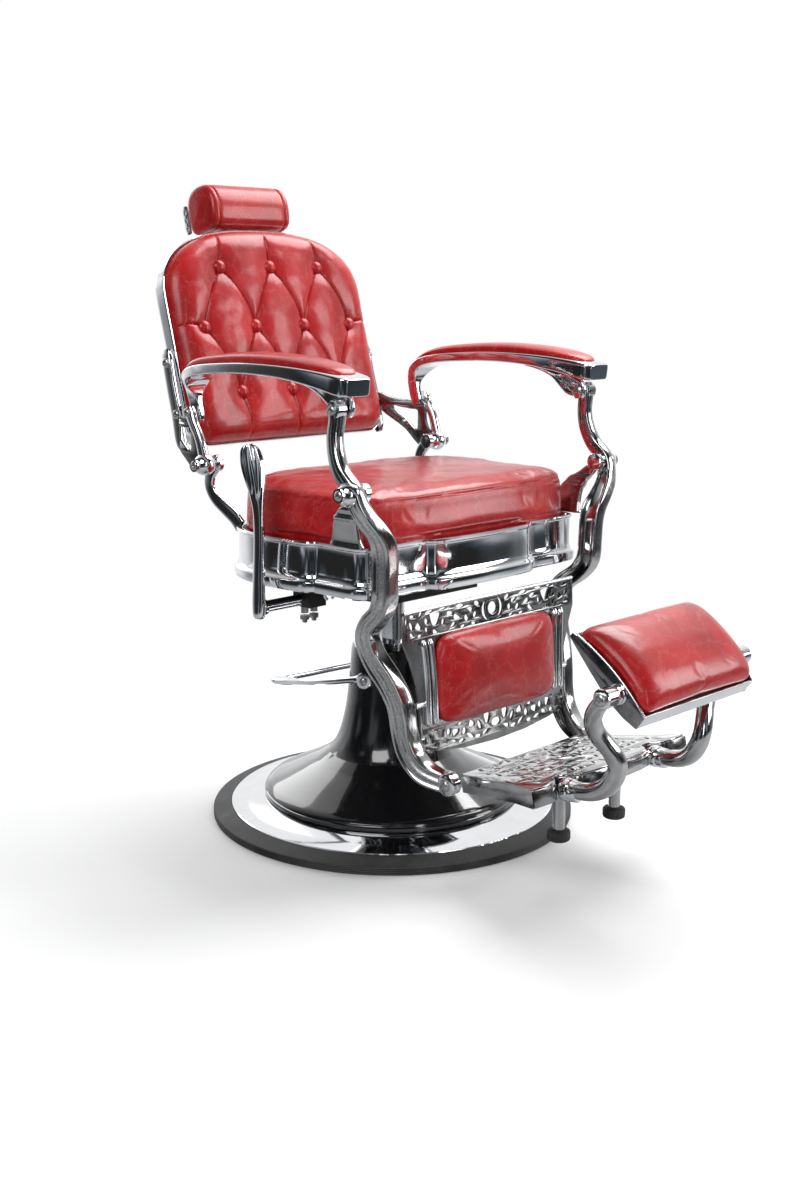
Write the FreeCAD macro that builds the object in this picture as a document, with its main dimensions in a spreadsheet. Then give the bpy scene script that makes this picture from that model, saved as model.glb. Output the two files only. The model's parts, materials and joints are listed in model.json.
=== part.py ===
import FreeCAD, Part
import math
import os
import Sketcher
from FreeCAD import Placement, Rotation, Vector

# Hydraulic barber chair, in millimetres. The origin is on the floor under the column's axis, +Z is up
# and the sitter faces -Y. "right" and "left" are the sitter's: right is -X, left is +X.

doc = FreeCAD.newDocument("barber_chair")
sheet = doc.addObject("Spreadsheet::Sheet", "sizes")

SIZES = (
    # floor base and column
    ("base_radius", 350, "outer edge of the rubber ring"),
    ("base_side", 14, "height of the rubber ring's upright side"),
    ("ring_radius", 314, "outer edge of the chrome ring"),
    ("ring_low", 24, "top of the chrome ring at its outer edge"),
    ("ring_high", 38, "top of the chrome ring at its inner edge"),
    ("bell_radius", 250, "rim of the bell cover"),
    ("plate_top", 20, "top of the steel base plate"),
    ("plate_web", 14, "underside of the base plate's web"),
    ("plate_rim", 22, "width of the rim that the base plate stands on"),
    ("plate_boss", 60, "radius of the base plate's middle boss"),
    ("bearing_top", 36, "top of the swivel bearing"),
    ("bell_foot", 39, "underside of the bell cover"),
    ("bell_rim", 54, "top of the bell cover's upright rim"),
    ("knee_radius", 118, "radius where the bell's slope meets its neck"),
    ("knee_height", 120, "height where the bell's slope meets its neck"),
    ("neck_radius", 78, "top of the bell cover"),
    ("neck_top", 332, "height of the bell cover"),
    ("bell_wall", 4, "wall of the bell cover"),
    ("cylinder_radius", 38, "outside of the pump cylinder"),
    ("piston_radius", 24, "piston rod"),
    ("running_gap", 0.05, "radial clearance of a shaft in its bore"),
    ("shaft_height", 281, "pump shaft above the floor"),
    ("shaft_reach", 108, "half length of the pump shaft"),
    ("shaft_radius", 9, "pump shaft"),
    ("pedal_reach", 276, "pump handle's tip from the column's axis"),
    ("pedal_tip", 220, "height of the pump handle's tip"),
    ("pedal_rod", 6, "radius of the pump handle's rods"),
    # seat
    ("mount_low", 440, "underside of the seat mount"),
    ("flange_low", 468, "underside of the seat mount's wide plate"),
    ("flange_high", 486, "top of the seat mount's wide plate"),
    ("mount_wide", 400, "width of the seat mount's plate"),
    ("mount_deep", 310, "depth of the seat mount's plate"),
    ("riser_wide", 240, "width of the seat mount's riser"),
    ("riser_deep", 220, "depth of the seat mount's riser"),
    ("mount_wall", 6, "wall of the folded seat mount"),
    ("socket_radius", 46, "socket that the piston rod carries"),
    ("pan_low", 488, "underside of the seat pan"),
    ("pan_ledge", 505, "top of the pan's lower skirt"),
    ("pan_top", 573, "rim of the seat pan"),
    ("pan_floor", 566, "face that the cushion rests on"),
    ("pan_half", 282, "half width of the pan at its front corners"),
    ("pan_front", 216, "pan's front corners forward of the axis"),
    ("pan_rear", 190, "pan's rear edge behind the axis"),
    ("pan_bow", 26, "how far the pan's front and sides bow out"),
    ("skirt_offset", 8, "how far the lower skirt stands out"),
    ("cushion_top", 661, "top of the seat cushion"),
    ("cushion_inset", 13, "cushion edge inside the pan rim"),
    # pivots, as distances from the axis, and heights
    ("front_pivot_y", -242, "front ball pivot"),
    ("front_pivot_z", 676, "front ball pivot"),
    ("front_ball_x", 334, "front ball pivot"),
    ("rear_pivot_y", 177, "rear ball pivot"),
    ("rear_pivot_z", 686, "rear ball pivot"),
    ("rear_ball_x", 304, "rear ball pivot"),
    ("ball_radius", 20, "cast knuckle at each pivot"),
    ("pin_radius", 6, "pivot pin"),
    ("arm_rear_y", 214, "armrest rivet at the rear post"),
    ("arm_rear_z", 778, "armrest rivet at the rear post"),
    ("arm_front_y", -202, "armrest rivet at the front post"),
    ("arm_front_z", 808, "armrest rivet at the front post"),
    ("rivet_radius", 5, "armrest rivets"),
    ("open_gap", 2.2, "radial play of the armrest's front rivet"),
    # back and headrest, measured along and across the sloping back
    ("back_slope", 15.1, "degrees from upright"),
    ("back_y", 300, "front edge of the back shell, at back_z"),
    ("back_z", 760, "height where back_y is measured"),
    ("back_half", 248, "half width of the back pad"),
    ("back_foot", -57, "bottom of the back pad, along the slope"),
    ("back_shoulder", 232, "where the arched top begins"),
    ("back_crown", 363, "top of the back pad"),
    ("pad_depth", 28, "how far the back pad stands proud"),
    ("shell_depth", 32, "depth of the chrome back shell"),
    ("headrest_half", 100, "half width of the headrest"),
    ("headrest_low", 370, "underside of the headrest, along the slope"),
    ("headrest_tall", 92, "height of the headrest along the slope"),
    ("headrest_deep", 92, "depth of the headrest"),
    # leg rest
    ("panel_half", 227, "half width of the calf panel's top"),
    ("panel_waist", 194, "half width of the calf panel's foot"),
    ("panel_low", 208, "foot of the calf panel"),
    ("panel_high", 465, "top of the calf panel"),
    ("panel_thick", 8, "calf panel"),
    ("calf_half", 160, "half width of the calf pad"),
    ("calf_low", 260, "foot of the calf pad"),
    ("calf_high", 412, "top of the calf pad"),
    ("calf_deep", 20, "depth of the calf pad"),
    ("tread_rear_y", -332, "rear edge of the footrest plate"),
    ("tread_rear_z", 186, "height of the plate's rear edge"),
    ("tread_slope", 10, "degrees that the footrest plate rises"),
    ("tread_run", 198, "length of the footrest plate's sides"),
    ("tread_rear_half", 160, "half width of the plate's rear edge"),
    ("tread_front_half", 209, "half width of the plate's front edge"),
    ("tread_nose", 18, "how far the plate's front edge bows out"),
    ("tread_thick", 7, "footrest plate"),
    ("flange_deep", 27, "depth of the plate's side flanges"),
    ("leg_x", 77, "prop legs from the middle"),
    ("leg_y", -480, "prop legs"),
    ("leg_radius", 10.5, "prop legs"),
    ("leg_foot", 86, "underside of the rubber feet"),
    ("foot_radius", 20, "rubber feet"),
    ("foot_tall", 20, "rubber feet"),
    # foot pad on its two arms
    ("pad_pivot_y", -650, "foot pad pivot"),
    ("pad_pivot_z", 392, "foot pad pivot"),
    ("pad_slope", 38, "degrees that the foot pad falls to the front"),
    ("pad_half", 152, "half width of the foot pad"),
    ("pad_behind", 121, "foot pad behind its pivot"),
    ("pad_ahead", 54, "foot pad ahead of its pivot"),
    # recline lever
    ("lever_x", -337, "middle of the recline lever"),
    ("lever_y", -7, "recline lever's shaft"),
    ("lever_z", 453, "recline lever's shaft"),
)

for row, (alias, value, meaning) in enumerate(SIZES, start=1):
    sheet.set("A%d" % row, alias)
    sheet.set("B%d" % row, str(value))
    sheet.set("C%d" % row, meaning)
    sheet.setAlias("B%d" % row, alias)
doc.recompute()

X_AXIS = Vector(1, 0, 0)
Z_AXIS = Vector(0, 0, 1)
MIDDLE = Vector(0, 0, 0)
pieces = []


def size(alias):
    return float(getattr(sheet, alias))


def bound(feature, **expressions):
    for prop, expression in expressions.items():
        feature.setExpression(prop.replace("__", "."), expression)


# ---------------------------------------------------------------- ways of making a piece

def new_body(label):
    body = doc.addObject("PartDesign::Body", label)
    body.Label = label
    pieces.append(body)
    return body


def origin_plane(body, role):
    for feature in body.Origin.OriginFeatures:
        if feature.Role == role:
            return feature
    raise ValueError(role)


def outline(body, role, corners, name="outline"):
    """Closed sketch of straight sides; each corner is two expressions of the sheet."""
    sketch = body.newObject("Sketcher::SketchObject", name)
    sketch.AttachmentSupport = [(origin_plane(body, role), "")]
    sketch.MapMode = "FlatFace"
    count = len(corners)
    ring = [Vector(math.cos(k * math.tau / count), math.sin(k * math.tau / count), 0) * 10
            for k in range(count + 1)]
    for k in range(count):
        sketch.addGeometry(Part.LineSegment(ring[k], ring[k + 1]))
    for k in range(count):
        sketch.addConstraint(Sketcher.Constraint("Coincident", k, 2, (k + 1) % count, 1))
    for k, corner in enumerate(corners):
        for kind, start, expression in zip(("DistanceX", "DistanceY"), ring[k], corner):
            index = sketch.addConstraint(Sketcher.Constraint(kind, -1, 1, k, 1, start))
            sketch.setExpression("Constraints[%d]" % index, expression)
    doc.recompute()
    return sketch


def turned(label, corners):
    """A body of revolution about the column's axis; corners are (radius, height)."""
    body = new_body(label)
    sketch = outline(body, "XZ_Plane", corners)
    revolution = body.newObject("PartDesign::Revolution", "turning")
    revolution.Profile = sketch
    revolution.ReferenceAxis = (sketch, ["V_Axis"])
    revolution.Angle = 360
    doc.recompute()
    return body


def padded(body, sketch, length, middle=False, reverse=False):
    pad = body.newObject("PartDesign::Pad", "pad")
    pad.Profile = sketch
    bound(pad, Length=length)
    pad.Midplane = middle
    pad.Reversed = reverse
    doc.recompute()
    return pad


def pocketed(body, sketch, depth=None, reverse=False):
    """A pocket, through everything unless a depth is given; it has to remove material."""
    before = body.Shape.Volume
    pocket = body.newObject("PartDesign::Pocket", "pocket")
    pocket.Profile = sketch
    pocket.Reversed = reverse
    if depth is None:
        pocket.Type = 1
        pocket.Midplane = True
    else:
        bound(pocket, Length=depth)
    doc.recompute()
    if body.Shape.Volume > before - 1:
        raise ValueError("pocket removes nothing: " + body.Label)
    return pocket


def edges_at(shape, chosen):
    """Names of the edges whose middle point passes the test."""
    names = []
    for index, edge in enumerate(shape.Edges, start=1):
        middle = edge.valueAt((edge.FirstParameter + edge.LastParameter) / 2)
        if chosen(middle, edge):
            names.append("Edge%d" % index)
    return names


def rounded(body, chosen, radius, kind="PartDesign::Fillet"):
    base = body.Tip
    feature = body.newObject(kind, "rounding")
    feature.Base = (base, edges_at(base.Shape, chosen))
    prop = "Radius" if kind.endswith("Fillet") else "Size"
    feature.setExpression(prop, radius)
    doc.recompute()
    return feature


def primitive(kind, label, **expressions):
    thing = doc.addObject(kind, label)
    bound(thing, **expressions)
    return thing


def combined(kind, label, *members):
    """A named boolean or compound of primitives; it becomes a piece."""
    thing = doc.addObject(kind, label)
    thing.Label = label
    if kind == "Part::Cut":
        thing.Base, thing.Tool = members
    elif kind == "Part::Compound":
        thing.Links = list(members)
    else:
        thing.Shapes = list(members)
    pieces.append(thing)
    doc.recompute()
    return thing


def shaped(label, shape, placement=None):
    """A free-form casting or soft form, set from Part's own functions."""
    thing = doc.addObject("Part::Feature", label)
    thing.Label = label
    thing.Shape = shape
    if placement is not None:
        thing.Placement = placement
    pieces.append(thing)
    return thing


def both_sides(name, left_shape):
    """The left piece as given and its mirror image on the right."""
    shaped(name + "_left", left_shape)
    shaped(name + "_right", left_shape.mirror(MIDDLE, X_AXIS))


def cross_pin(x_from, x_to, y, z, radius):
    return Part.makeCylinder(radius, x_to - x_from, Vector(x_from, y, z), X_AXIS)


def run(stations, corner=0.3):
    """Cast bar through stations (x, y, z, thickness along X, depth across the bar)."""
    centres = [Vector(*station[:3]) for station in stations]
    last = len(stations) - 1
    wires = []
    for k, (x, y, z, thick, deep) in enumerate(stations):
        tangent = centres[min(k + 1, last)] - centres[max(k - 1, 0)]
        tangent.normalize()
        across = tangent.cross(X_AXIS)
        across.normalize()
        aside = across.cross(tangent)
        cut = corner * min(thick, deep)
        wide, tall = thick / 2, deep / 2
        corners = []
        for sx, sy in ((1, 1), (-1, 1), (-1, -1), (1, -1)):
            pair = ((sx * wide, sy * (tall - cut)), (sx * (wide - cut), sy * tall))
            corners.extend(pair if sx * sy > 0 else pair[::-1])
        points = [centres[k] + aside * a + across * b for a, b in corners]
        wires.append(Part.makePolygon(points + points[:1]))
    return Part.makeLoft(wires, True, False)


def tube(stations):
    """Round bar through stations (x, y, z, radius)."""
    centres = [Vector(*station[:3]) for station in stations]
    last = len(stations) - 1
    wires = []
    for k, station in enumerate(stations):
        tangent = centres[min(k + 1, last)] - centres[max(k - 1, 0)]
        wires.append(Part.Wire(Part.makeCircle(station[3], centres[k], tangent)))
    return Part.makeLoft(wires, True, False)


def plate(points, x_from, x_to):
    """Flat plate in a plane across X, from an outline of (y, z) points."""
    corners = [Vector(x_from, y, z) for y, z in points]
    face = Part.Face(Part.makePolygon(corners + corners[:1]))
    return face.extrude(Vector(x_to - x_from, 0, 0))


def softened(solid, chosen, radius):
    edges = [edge for edge in solid.Edges
             if chosen(edge.valueAt((edge.FirstParameter + edge.LastParameter) / 2), edge)]
    return solid.makeFillet(radius, edges)


# ---------------------------------------------------------------- floor base (fixed)

def base():
    turned("base_plate", (
        ("0", "0"), ("sizes.plate_boss", "0"), ("sizes.plate_boss", "sizes.plate_web"),
        ("sizes.ring_radius - sizes.plate_rim", "sizes.plate_web"),
        ("sizes.ring_radius - sizes.plate_rim", "0"), ("sizes.ring_radius", "0"),
        ("sizes.ring_radius", "sizes.plate_top"), ("0", "sizes.plate_top")))
    ring = turned("base_ring", (
        ("sizes.ring_radius", "0"), ("sizes.base_radius", "0"),
        ("sizes.base_radius", "sizes.base_side"), ("sizes.ring_radius", "sizes.ring_low")))
    rounded(ring, lambda p, e: p.z > 10 and abs(math.hypot(p.x, p.y) - size("base_radius")) < 1,
            "4")
    turned("chrome_ring", (
        ("sizes.bell_radius - 6", "sizes.plate_top"), ("sizes.ring_radius", "sizes.plate_top"),
        ("sizes.ring_radius", "sizes.ring_low"), ("sizes.bell_radius - 6", "sizes.ring_high")))
    turned("swivel_bearing", (
        ("sizes.cylinder_radius + 8", "sizes.plate_top"),
        ("sizes.cylinder_radius + 34", "sizes.plate_top"),
        ("sizes.cylinder_radius + 34", "sizes.bearing_top"),
        ("sizes.cylinder_radius + 8", "sizes.bearing_top")))


# ---------------------------------------------------------------- column (turns on the base)

PUMP_TURN = 16.3        # degrees from the chair's width to the pump shaft


def column():
    bell = turned("bell_cover", (
        ("sizes.bell_radius - sizes.bell_wall", "sizes.bell_foot"),
        ("sizes.bell_radius", "sizes.bell_foot"),
        ("sizes.bell_radius", "sizes.bell_rim"),
        ("sizes.knee_radius", "sizes.knee_height"),
        ("sizes.neck_radius", "sizes.neck_top"),
        ("sizes.neck_radius - sizes.bell_wall", "sizes.neck_top"),
        ("sizes.knee_radius - sizes.bell_wall", "sizes.knee_height - sizes.bell_wall"),
        ("sizes.bell_radius - sizes.bell_wall", "sizes.bell_rim - sizes.bell_wall")))
    knee = size("knee_radius")
    rounded(bell, lambda p, e: abs(math.hypot(p.x, p.y) - knee) < 0.5, "70")
    rounded(bell, lambda p, e: abs(math.hypot(p.x, p.y) - knee + size("bell_wall")) < 0.5, "72")
    rounded(bell, lambda p, e: abs(p.z - size("bell_rim")) < 0.5, "9")
    holes = outline(bell, "YZ_Plane", tuple(
        ("(sizes.shaft_radius + 1) * cos(%d deg)" % angle,
         "sizes.shaft_height + (sizes.shaft_radius + 1) * sin(%d deg)" % angle)
        for angle in range(0, 360, 30)), "shaft_holes")
    pocketed(bell, holes)
    bell.Placement = Placement(MIDDLE, Rotation(Z_AXIS, PUMP_TURN))

    turned("pump_cylinder", (
        ("sizes.piston_radius + sizes.running_gap", "sizes.bearing_top + 10"),
        ("sizes.piston_radius + sizes.running_gap", "sizes.neck_top - 12"),
        ("sizes.cylinder_radius", "sizes.neck_top - 12"),
        ("sizes.cylinder_radius", "sizes.bearing_top + 10"),
        ("sizes.cylinder_radius + 30", "sizes.bearing_top + 10"),
        ("sizes.cylinder_radius + 30", "sizes.bearing_top"),
        ("0", "sizes.bearing_top"),
        ("0", "sizes.bearing_top + 10")))
    turned("neck_collar", (
        ("sizes.piston_radius + sizes.running_gap", "sizes.neck_top - 12"),
        ("sizes.neck_radius - sizes.bell_wall", "sizes.neck_top - 12"),
        ("sizes.neck_radius - sizes.bell_wall", "sizes.neck_top"),
        ("sizes.piston_radius + 12", "sizes.neck_top + 6"),
        ("sizes.piston_radius + sizes.running_gap", "sizes.neck_top + 6")))

    bushes = []
    for side in (-1, 1):
        outer = primitive("Part::Cylinder", "bush_outside", Radius="sizes.shaft_radius + 6",
                          Height="sizes.neck_radius - sizes.cylinder_radius - 6")
        bore = primitive("Part::Cylinder", "bush_bore", Radius="sizes.shaft_radius + sizes.running_gap",
                         Height="sizes.neck_radius")
        bush = doc.addObject("Part::Cut", "bush")
        bush.Base, bush.Tool = outer, bore
        bush.Placement = on_shaft(side, size("cylinder_radius"))
        bushes.append(bush)
    combined("Part::Compound", "pump_bushes", *bushes)

    bolts = []
    for quarter in range(4):
        bolt = primitive("Part::Prism", "pump_bolt", Circumradius="9", Height="7")
        turn = Rotation(Z_AXIS, 45 + 90 * quarter)
        reach = Vector(size("cylinder_radius") + 17, 0, size("bearing_top") + 10)
        bolt.Placement = Placement(turn.multVec(reach), turn)
        bolts.append(bolt)
    combined("Part::Compound", "pump_bolts", *bolts)


def on_shaft(side, reach):
    """Placement of a turned part on the pump shaft, facing outwards on one side."""
    turn = Rotation(Z_AXIS, PUMP_TURN).multiply(Rotation(Vector(0, 1, 0), 90 * side))
    out = Rotation(Z_AXIS, PUMP_TURN).multVec(Vector(side * reach, 0, size("shaft_height")))
    return Placement(out, turn)


def pump_handle():
    stubs = []
    for side in (-1, 1):
        stub = primitive("Part::Cylinder", "shaft_stub", Radius="sizes.shaft_radius",
                         Height="sizes.shaft_reach - sizes.cylinder_radius - 2")
        stub.Placement = on_shaft(side, size("cylinder_radius") + 2)
        stubs.append(stub)
    combined("Part::Compound", "pump_shaft", *stubs)

    reach, rod = size("shaft_reach"), size("pedal_rod")
    shaft_z, tip_z = size("shaft_height"), size("pedal_tip")
    clamp = Part.makeCylinder(17, 20, Vector(reach - 16, 0, shaft_z), X_AXIS)
    clamp = clamp.cut(cross_pin(reach - 20, reach + 1, 0, shaft_z, size("shaft_radius")))
    side_rod = tube((
        (reach - 6, 14, shaft_z - 2, rod), (reach - 8, 60, shaft_z - 12, rod),
        (reach - 44, 160, shaft_z - 34, rod), (reach - 84, 236, tip_z + 9, rod),
        (14, size("pedal_reach") - 22, tip_z + 4, rod)))
    tip = Part.makeBox(38, 34, 12, Vector(-19, size("pedal_reach") - 34, tip_z - 4))
    tip = softened(tip, lambda p, e: abs(p.z - tip_z - 2) < 1, 14)
    half = clamp.fuse(side_rod)
    handle = half.fuse([half.mirror(MIDDLE, X_AXIS), tip]).removeSplitter()
    shaped("pump_handle", handle, Placement(MIDDLE, Rotation(Z_AXIS, PUMP_TURN)))


# ---------------------------------------------------------------- seat (rises and falls)

def serpentine(grow, low, high):
    """Solid between two heights on the pan's bowed outline, grown outwards by an offset."""
    half, front = size("pan_half"), size("pan_front")
    rear, bow = size("pan_rear"), size("pan_bow")
    right_half = [Vector(x, y, low) for x, y in (
        (0, -front - bow), (70, -front - bow + 3), (128, -front - 8), (190, -front - 3),
        (half - 26, -front - 2), (half - 5, -front + 20), (half + 1, -front + 62),
        (half + 5, -105), (half + 18, -50), (half + bow - 1, 10), (half + 18, 64),
        (half - 8, 122), (half - 62, 168), (half - 130, rear - 4), (0, rear))]
    side = Part.BSplineCurve()
    side.interpolate(Points=right_half, InitialTangent=X_AXIS, FinalTangent=-X_AXIS)
    if grow:
        grown = []
        for point in right_half:
            tangent = side.tangent(side.parameter(point))[0]
            grown.append(point + Vector(tangent.y, -tangent.x, 0) * grow)
        side = Part.BSplineCurve()
        side.interpolate(Points=grown, InitialTangent=X_AXIS, FinalTangent=-X_AXIS)
    right = side.toShape()
    left = right.mirror(MIDDLE, X_AXIS)
    return Part.Face(Part.Wire([right, left])).extrude(Vector(0, 0, high - low))


PAN_THICK = 6           # floor of the seat pan
MOUNT_BACK = -10        # middle of the seat mount's plate along Y


def block(wide, deep, low, high, middle=0):
    """Upright box from its half width and half depth, centred on X = 0 and Y = middle."""
    return Part.makeBox(2 * wide, 2 * deep, high - low, Vector(-wide, middle - deep, low))


def seat():
    piston = primitive("Part::Cylinder", "piston_rod", Radius="sizes.piston_radius",
                       Height="sizes.mount_low - 120")
    piston.Placement = Placement(Vector(0, 0, 120), Rotation())
    pieces.append(piston)

    wall, low, high = size("mount_wall"), size("mount_low"), size("pan_floor") - PAN_THICK
    flange_low, flange_high = size("flange_low"), size("flange_high")
    wide, deep = size("mount_wide") / 2, size("mount_deep") / 2
    riser_wide, riser_deep = size("riser_wide") / 2, size("riser_deep") / 2
    shell = block(wide, deep, flange_low, flange_high, MOUNT_BACK)
    shell = shell.cut(block(wide - wall, deep - wall, flange_low - 1, flange_high - wall, MOUNT_BACK))
    shell = shell.fuse(block(riser_wide, riser_deep, low, high))
    shell = shell.cut(block(riser_wide - wall, riser_deep - wall, low - 1, high - wall))
    socket = Part.makeCylinder(size("socket_radius"), high - low, Vector(0, 0, low))
    shaped("seat_mount", shell.fuse(socket).removeSplitter())

    skirt = serpentine(size("skirt_offset"), size("pan_low"), size("pan_ledge"))
    wall = serpentine(0, size("pan_ledge"), size("pan_top"))
    below = serpentine(-6, size("pan_low") - 1, size("pan_floor") - PAN_THICK)
    above = serpentine(-8, size("pan_floor"), size("pan_top") + 1)
    pan = skirt.fuse(wall).cut(below).cut(above)
    shaped("seat_pan", pan)
    cushion = serpentine(-size("cushion_inset"), size("pan_floor") + 0.3, size("cushion_top"))
    shaped("seat_cushion", softened(cushion, lambda p, e: abs(p.z - size("cushion_top")) < 1, 12))

    y, z, ball = size("front_pivot_y"), size("front_pivot_z"), size("front_ball_x")
    pin = size("pin_radius")
    top = size("pan_top")
    bracket = run((
        (284, -182, top, 8, 66), (292, -188, top + 26, 9, 60), (303, -206, top + 60, 10, 42),
        (305, -224, z - 22, 10, 26)))
    ear = cross_pin(299, 311, y, z, 14)
    bracket = bracket.fuse(ear).fuse(run((
        (305, -214, z - 32, 10, 30), (305, -228, z - 16, 10, 26), (305, y, z, 10, 24))))
    both_sides("front_bracket", bracket.cut(cross_pin(290, 320, y, z, pin)))
    front_pin = cross_pin(299, ball + 24, y, z, pin).fuse(cross_pin(ball + 21.5, ball + 25, y, z, 12))

    y, z, ball = size("rear_pivot_y"), size("rear_pivot_z"), size("rear_ball_x")
    strap = run((
        (269, 124, top, 8, 28), (271, 158, top + 27, 9, 26), (274, 188, top + 47, 9, 25),
        (276, 204, top + 68, 9, 25), (276, 203, top + 88, 9, 25), (276, y + 4, z - 6, 10, 26)))
    strap = strap.fuse(cross_pin(271, 281, y, z, 15)).cut(pan)
    both_sides("rear_bracket", strap.cut(cross_pin(260, 290, y, z, pin)))
    rear_pin = cross_pin(271, ball + 24, y, z, pin).fuse(cross_pin(ball + 21.5, ball + 25, y, z, 12))
    shaped("pivot_pins", Part.makeCompound([
        front_pin, front_pin.mirror(MIDDLE, X_AXIS), rear_pin, rear_pin.mirror(MIDDLE, X_AXIS)]))

    lever_y, lever_z = size("lever_y"), size("lever_z")
    lug_low = lever_z - 13
    lug = Part.makeBox(40, 44, size("flange_low") - lug_low, Vector(-236, lever_y - 22, lug_low))
    bore = cross_pin(-250, -190, lever_y, lever_z, 9 + size("running_gap"))
    shaped("lever_bearing", lug.cut(bore))
    bolts = [Part.makeCylinder(7, 12, Vector(x, lever_y, lug_low - 12)) for x in (-228, -206)]
    shaped("bearing_bolts", Part.makeCompound(bolts))


def recline_lever():
    x, y, z = size("lever_x"), size("lever_y"), size("lever_z")
    shaft = primitive("Part::Cylinder", "lever_shaft", Radius="9",
                      Height="-sizes.lever_x - 211")
    shaft.Placement = Placement(Vector(x + 8, y, z), Rotation(Vector(0, 1, 0), 90))
    pieces.append(shaft)
    handle = run((
        (x, y - 4, z - 12, 15, 22), (x, y - 5, z + 20, 16, 26), (x, y - 8, z + 80, 14, 24),
        (x, y - 10, z + 150, 13, 22), (x, y - 8, z + 205, 15, 26), (x, y + 2, z + 250, 16, 34),
        (x, y + 13, z + 283, 14, 26)), corner=0.45)
    shaped("recline_lever", handle)


# ---------------------------------------------------------------- back and headrest

def back_placement(across, along):
    """Placement on the sloping back: across it to the rear, and along it upwards."""
    tilt = Rotation(X_AXIS, -size("back_slope"))
    start = Vector(0, size("back_y"), size("back_z"))
    return Placement(start + tilt.multVec(Vector(0, across, along)), tilt)


def arched(inset):
    """Arched outline of the back in its own plane, inside the pad's edge by an inset."""
    half, foot = size("back_half") - inset, size("back_foot") + inset
    shoulder, crown = size("back_shoulder"), size("back_crown") - inset
    corner = 36
    rise = crown - shoulder
    arch = [Vector(half * math.cos(turn) ** 0.72, 0, shoulder + rise * math.sin(turn) ** 0.9)
            for turn in (math.radians(15 * k) for k in range(7))]
    arch[-1].x = 0
    arch += [Vector(-p.x, 0, p.z) for p in arch[-2::-1]]
    top = Part.BSplineCurve()
    top.interpolate(arch)
    low_left = Vector(-half, 0, foot + corner)
    low_right = Vector(half, 0, foot + corner)
    bend = corner * (1 - math.sqrt(0.5))
    edges = [
        top.toShape(),
        Part.LineSegment(arch[-1], low_left).toShape(),
        Part.Arc(low_left, Vector(-half + bend, 0, foot + bend), Vector(-half + corner, 0, foot)).toShape(),
        Part.LineSegment(Vector(-half + corner, 0, foot), Vector(half - corner, 0, foot)).toShape(),
        Part.Arc(Vector(half - corner, 0, foot), Vector(half - bend, 0, foot + bend), low_right).toShape(),
        Part.LineSegment(low_right, arch[0]).toShape()]
    return Part.Face(Part.Wire(edges))


def back():
    depth, shell = size("pad_depth"), size("shell_depth")
    pad = arched(3).extrude(Vector(0, -depth, 0))
    pad = softened(pad, lambda p, e: abs(p.y + depth) < 0.5, 14)
    shaped("back_pad", pad, back_placement(0, 0))
    casing = arched(0).extrude(Vector(0, shell, 0))
    hollow = arched(5).extrude(Vector(0, shell - 5, 0))
    shaped("back_shell", casing.cut(hollow), back_placement(0, 0))
    board = arched(5).extrude(Vector(0, 12, 0))
    shaped("back_board", board, back_placement(0, 0))

    buttons = []
    for along, places in ((38, (-125, 0, 125)), (166, (-187, -62, 62, 187)), (283, (-125, 0, 125))):
        for x in places:
            stem = Part.makeCylinder(3, 6, Vector(x, -depth, along), Vector(0, -1, 0))
            head = Part.makeCylinder(11, 5, Vector(x, -depth - 1, along), Vector(0, -1, 0))
            buttons.append(stem.fuse(head))
    shaped("back_buttons", Part.makeCompound(buttons), back_placement(0, 0))

    for side, word in ((1, "left"), (-1, "right")):
        bar = new_body("back_link_" + word)
        sketch = outline(bar, "YZ_Plane", (
            ("2", "-52"), ("10", "-58"), ("20", "-50"), ("26", "120"), ("16", "130"), ("4", "122")))
        padded(bar, sketch, "8 mm")
        bar.Placement = back_placement(0, 0).multiply(
            Placement(Vector(side * size("back_half") + (0 if side > 0 else -8), 0, 0), Rotation()))
    rivets = [Part.makeCylinder(9, 5, Vector(side * (size("back_half") + 8), 14, 106), Vector(side, 0, 0))
              for side in (-1, 1)]
    shaped("back_rivets", Part.makeCompound(rivets), back_placement(0, 0))

    y, z, ball = size("rear_pivot_y"), size("rear_pivot_z"), size("rear_ball_x")
    arm_y, arm_z = size("arm_rear_y"), size("arm_rear_z")
    edge = plate((
        (y + 4, z - 14), (y + 27, z - 18), (242, 694), (268, 716), (298, 738), (315, 752), (324, 776),
        (316, 790), (296, 782), (262, 768), (222, 751), (y + 24, z + 38), (y - 2, z + 10)), 288, 298)
    window = plate(((235, 722), (282, 749), (286, 760), (262, 752), (235, 741)), 280, 310)
    spacer = plate(((288, 742), (312, 756), (322, 776), (314, 788), (292, 780)), size("back_half") + 8, 290)
    post = run((
        (ball - 2, y, z, 16, 26), (ball + 1, y + 2, z + 26, 15, 26), (ball + 2, y + 12, z + 56, 14, 24),
        (ball + 1, arm_y - 6, arm_z - 16, 14, 24), (ball + 1, arm_y, arm_z, 14, 22)))
    knuckle = Part.makeSphere(size("ball_radius"), Vector(ball, y, z))
    knuckle = knuckle.common(Part.makeBox(60, 60, 60, Vector(283.5, y - 30, z - 30)))
    casting = edge.cut(window).fuse([spacer, post, knuckle])
    eye = cross_pin(ball - 6, ball + 8, arm_y, arm_z, 13)
    casting = casting.fuse(eye)
    casting = casting.cut(cross_pin(280, 330, y, z, size("pin_radius") + size("running_gap")))
    casting = casting.cut(cross_pin(280, 330, arm_y, arm_z, size("rivet_radius")))
    both_sides("back_bracket", casting)
    rivet = cross_pin(277, ball + 8, arm_y, arm_z, size("rivet_radius"))
    rivet = rivet.fuse(cross_pin(ball + 8, ball + 12, arm_y, arm_z, 9))
    both_sides("rear_rivet", rivet)

    guide = Part.makeBox(56, 16, 46, Vector(-28, shell, 236))
    slot = Part.makeBox(42.6, 6.6, 60, Vector(-21.3, shell + 4.7, 230))
    shaped("headrest_guide", guide.cut(slot), back_placement(0, 0))


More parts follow.
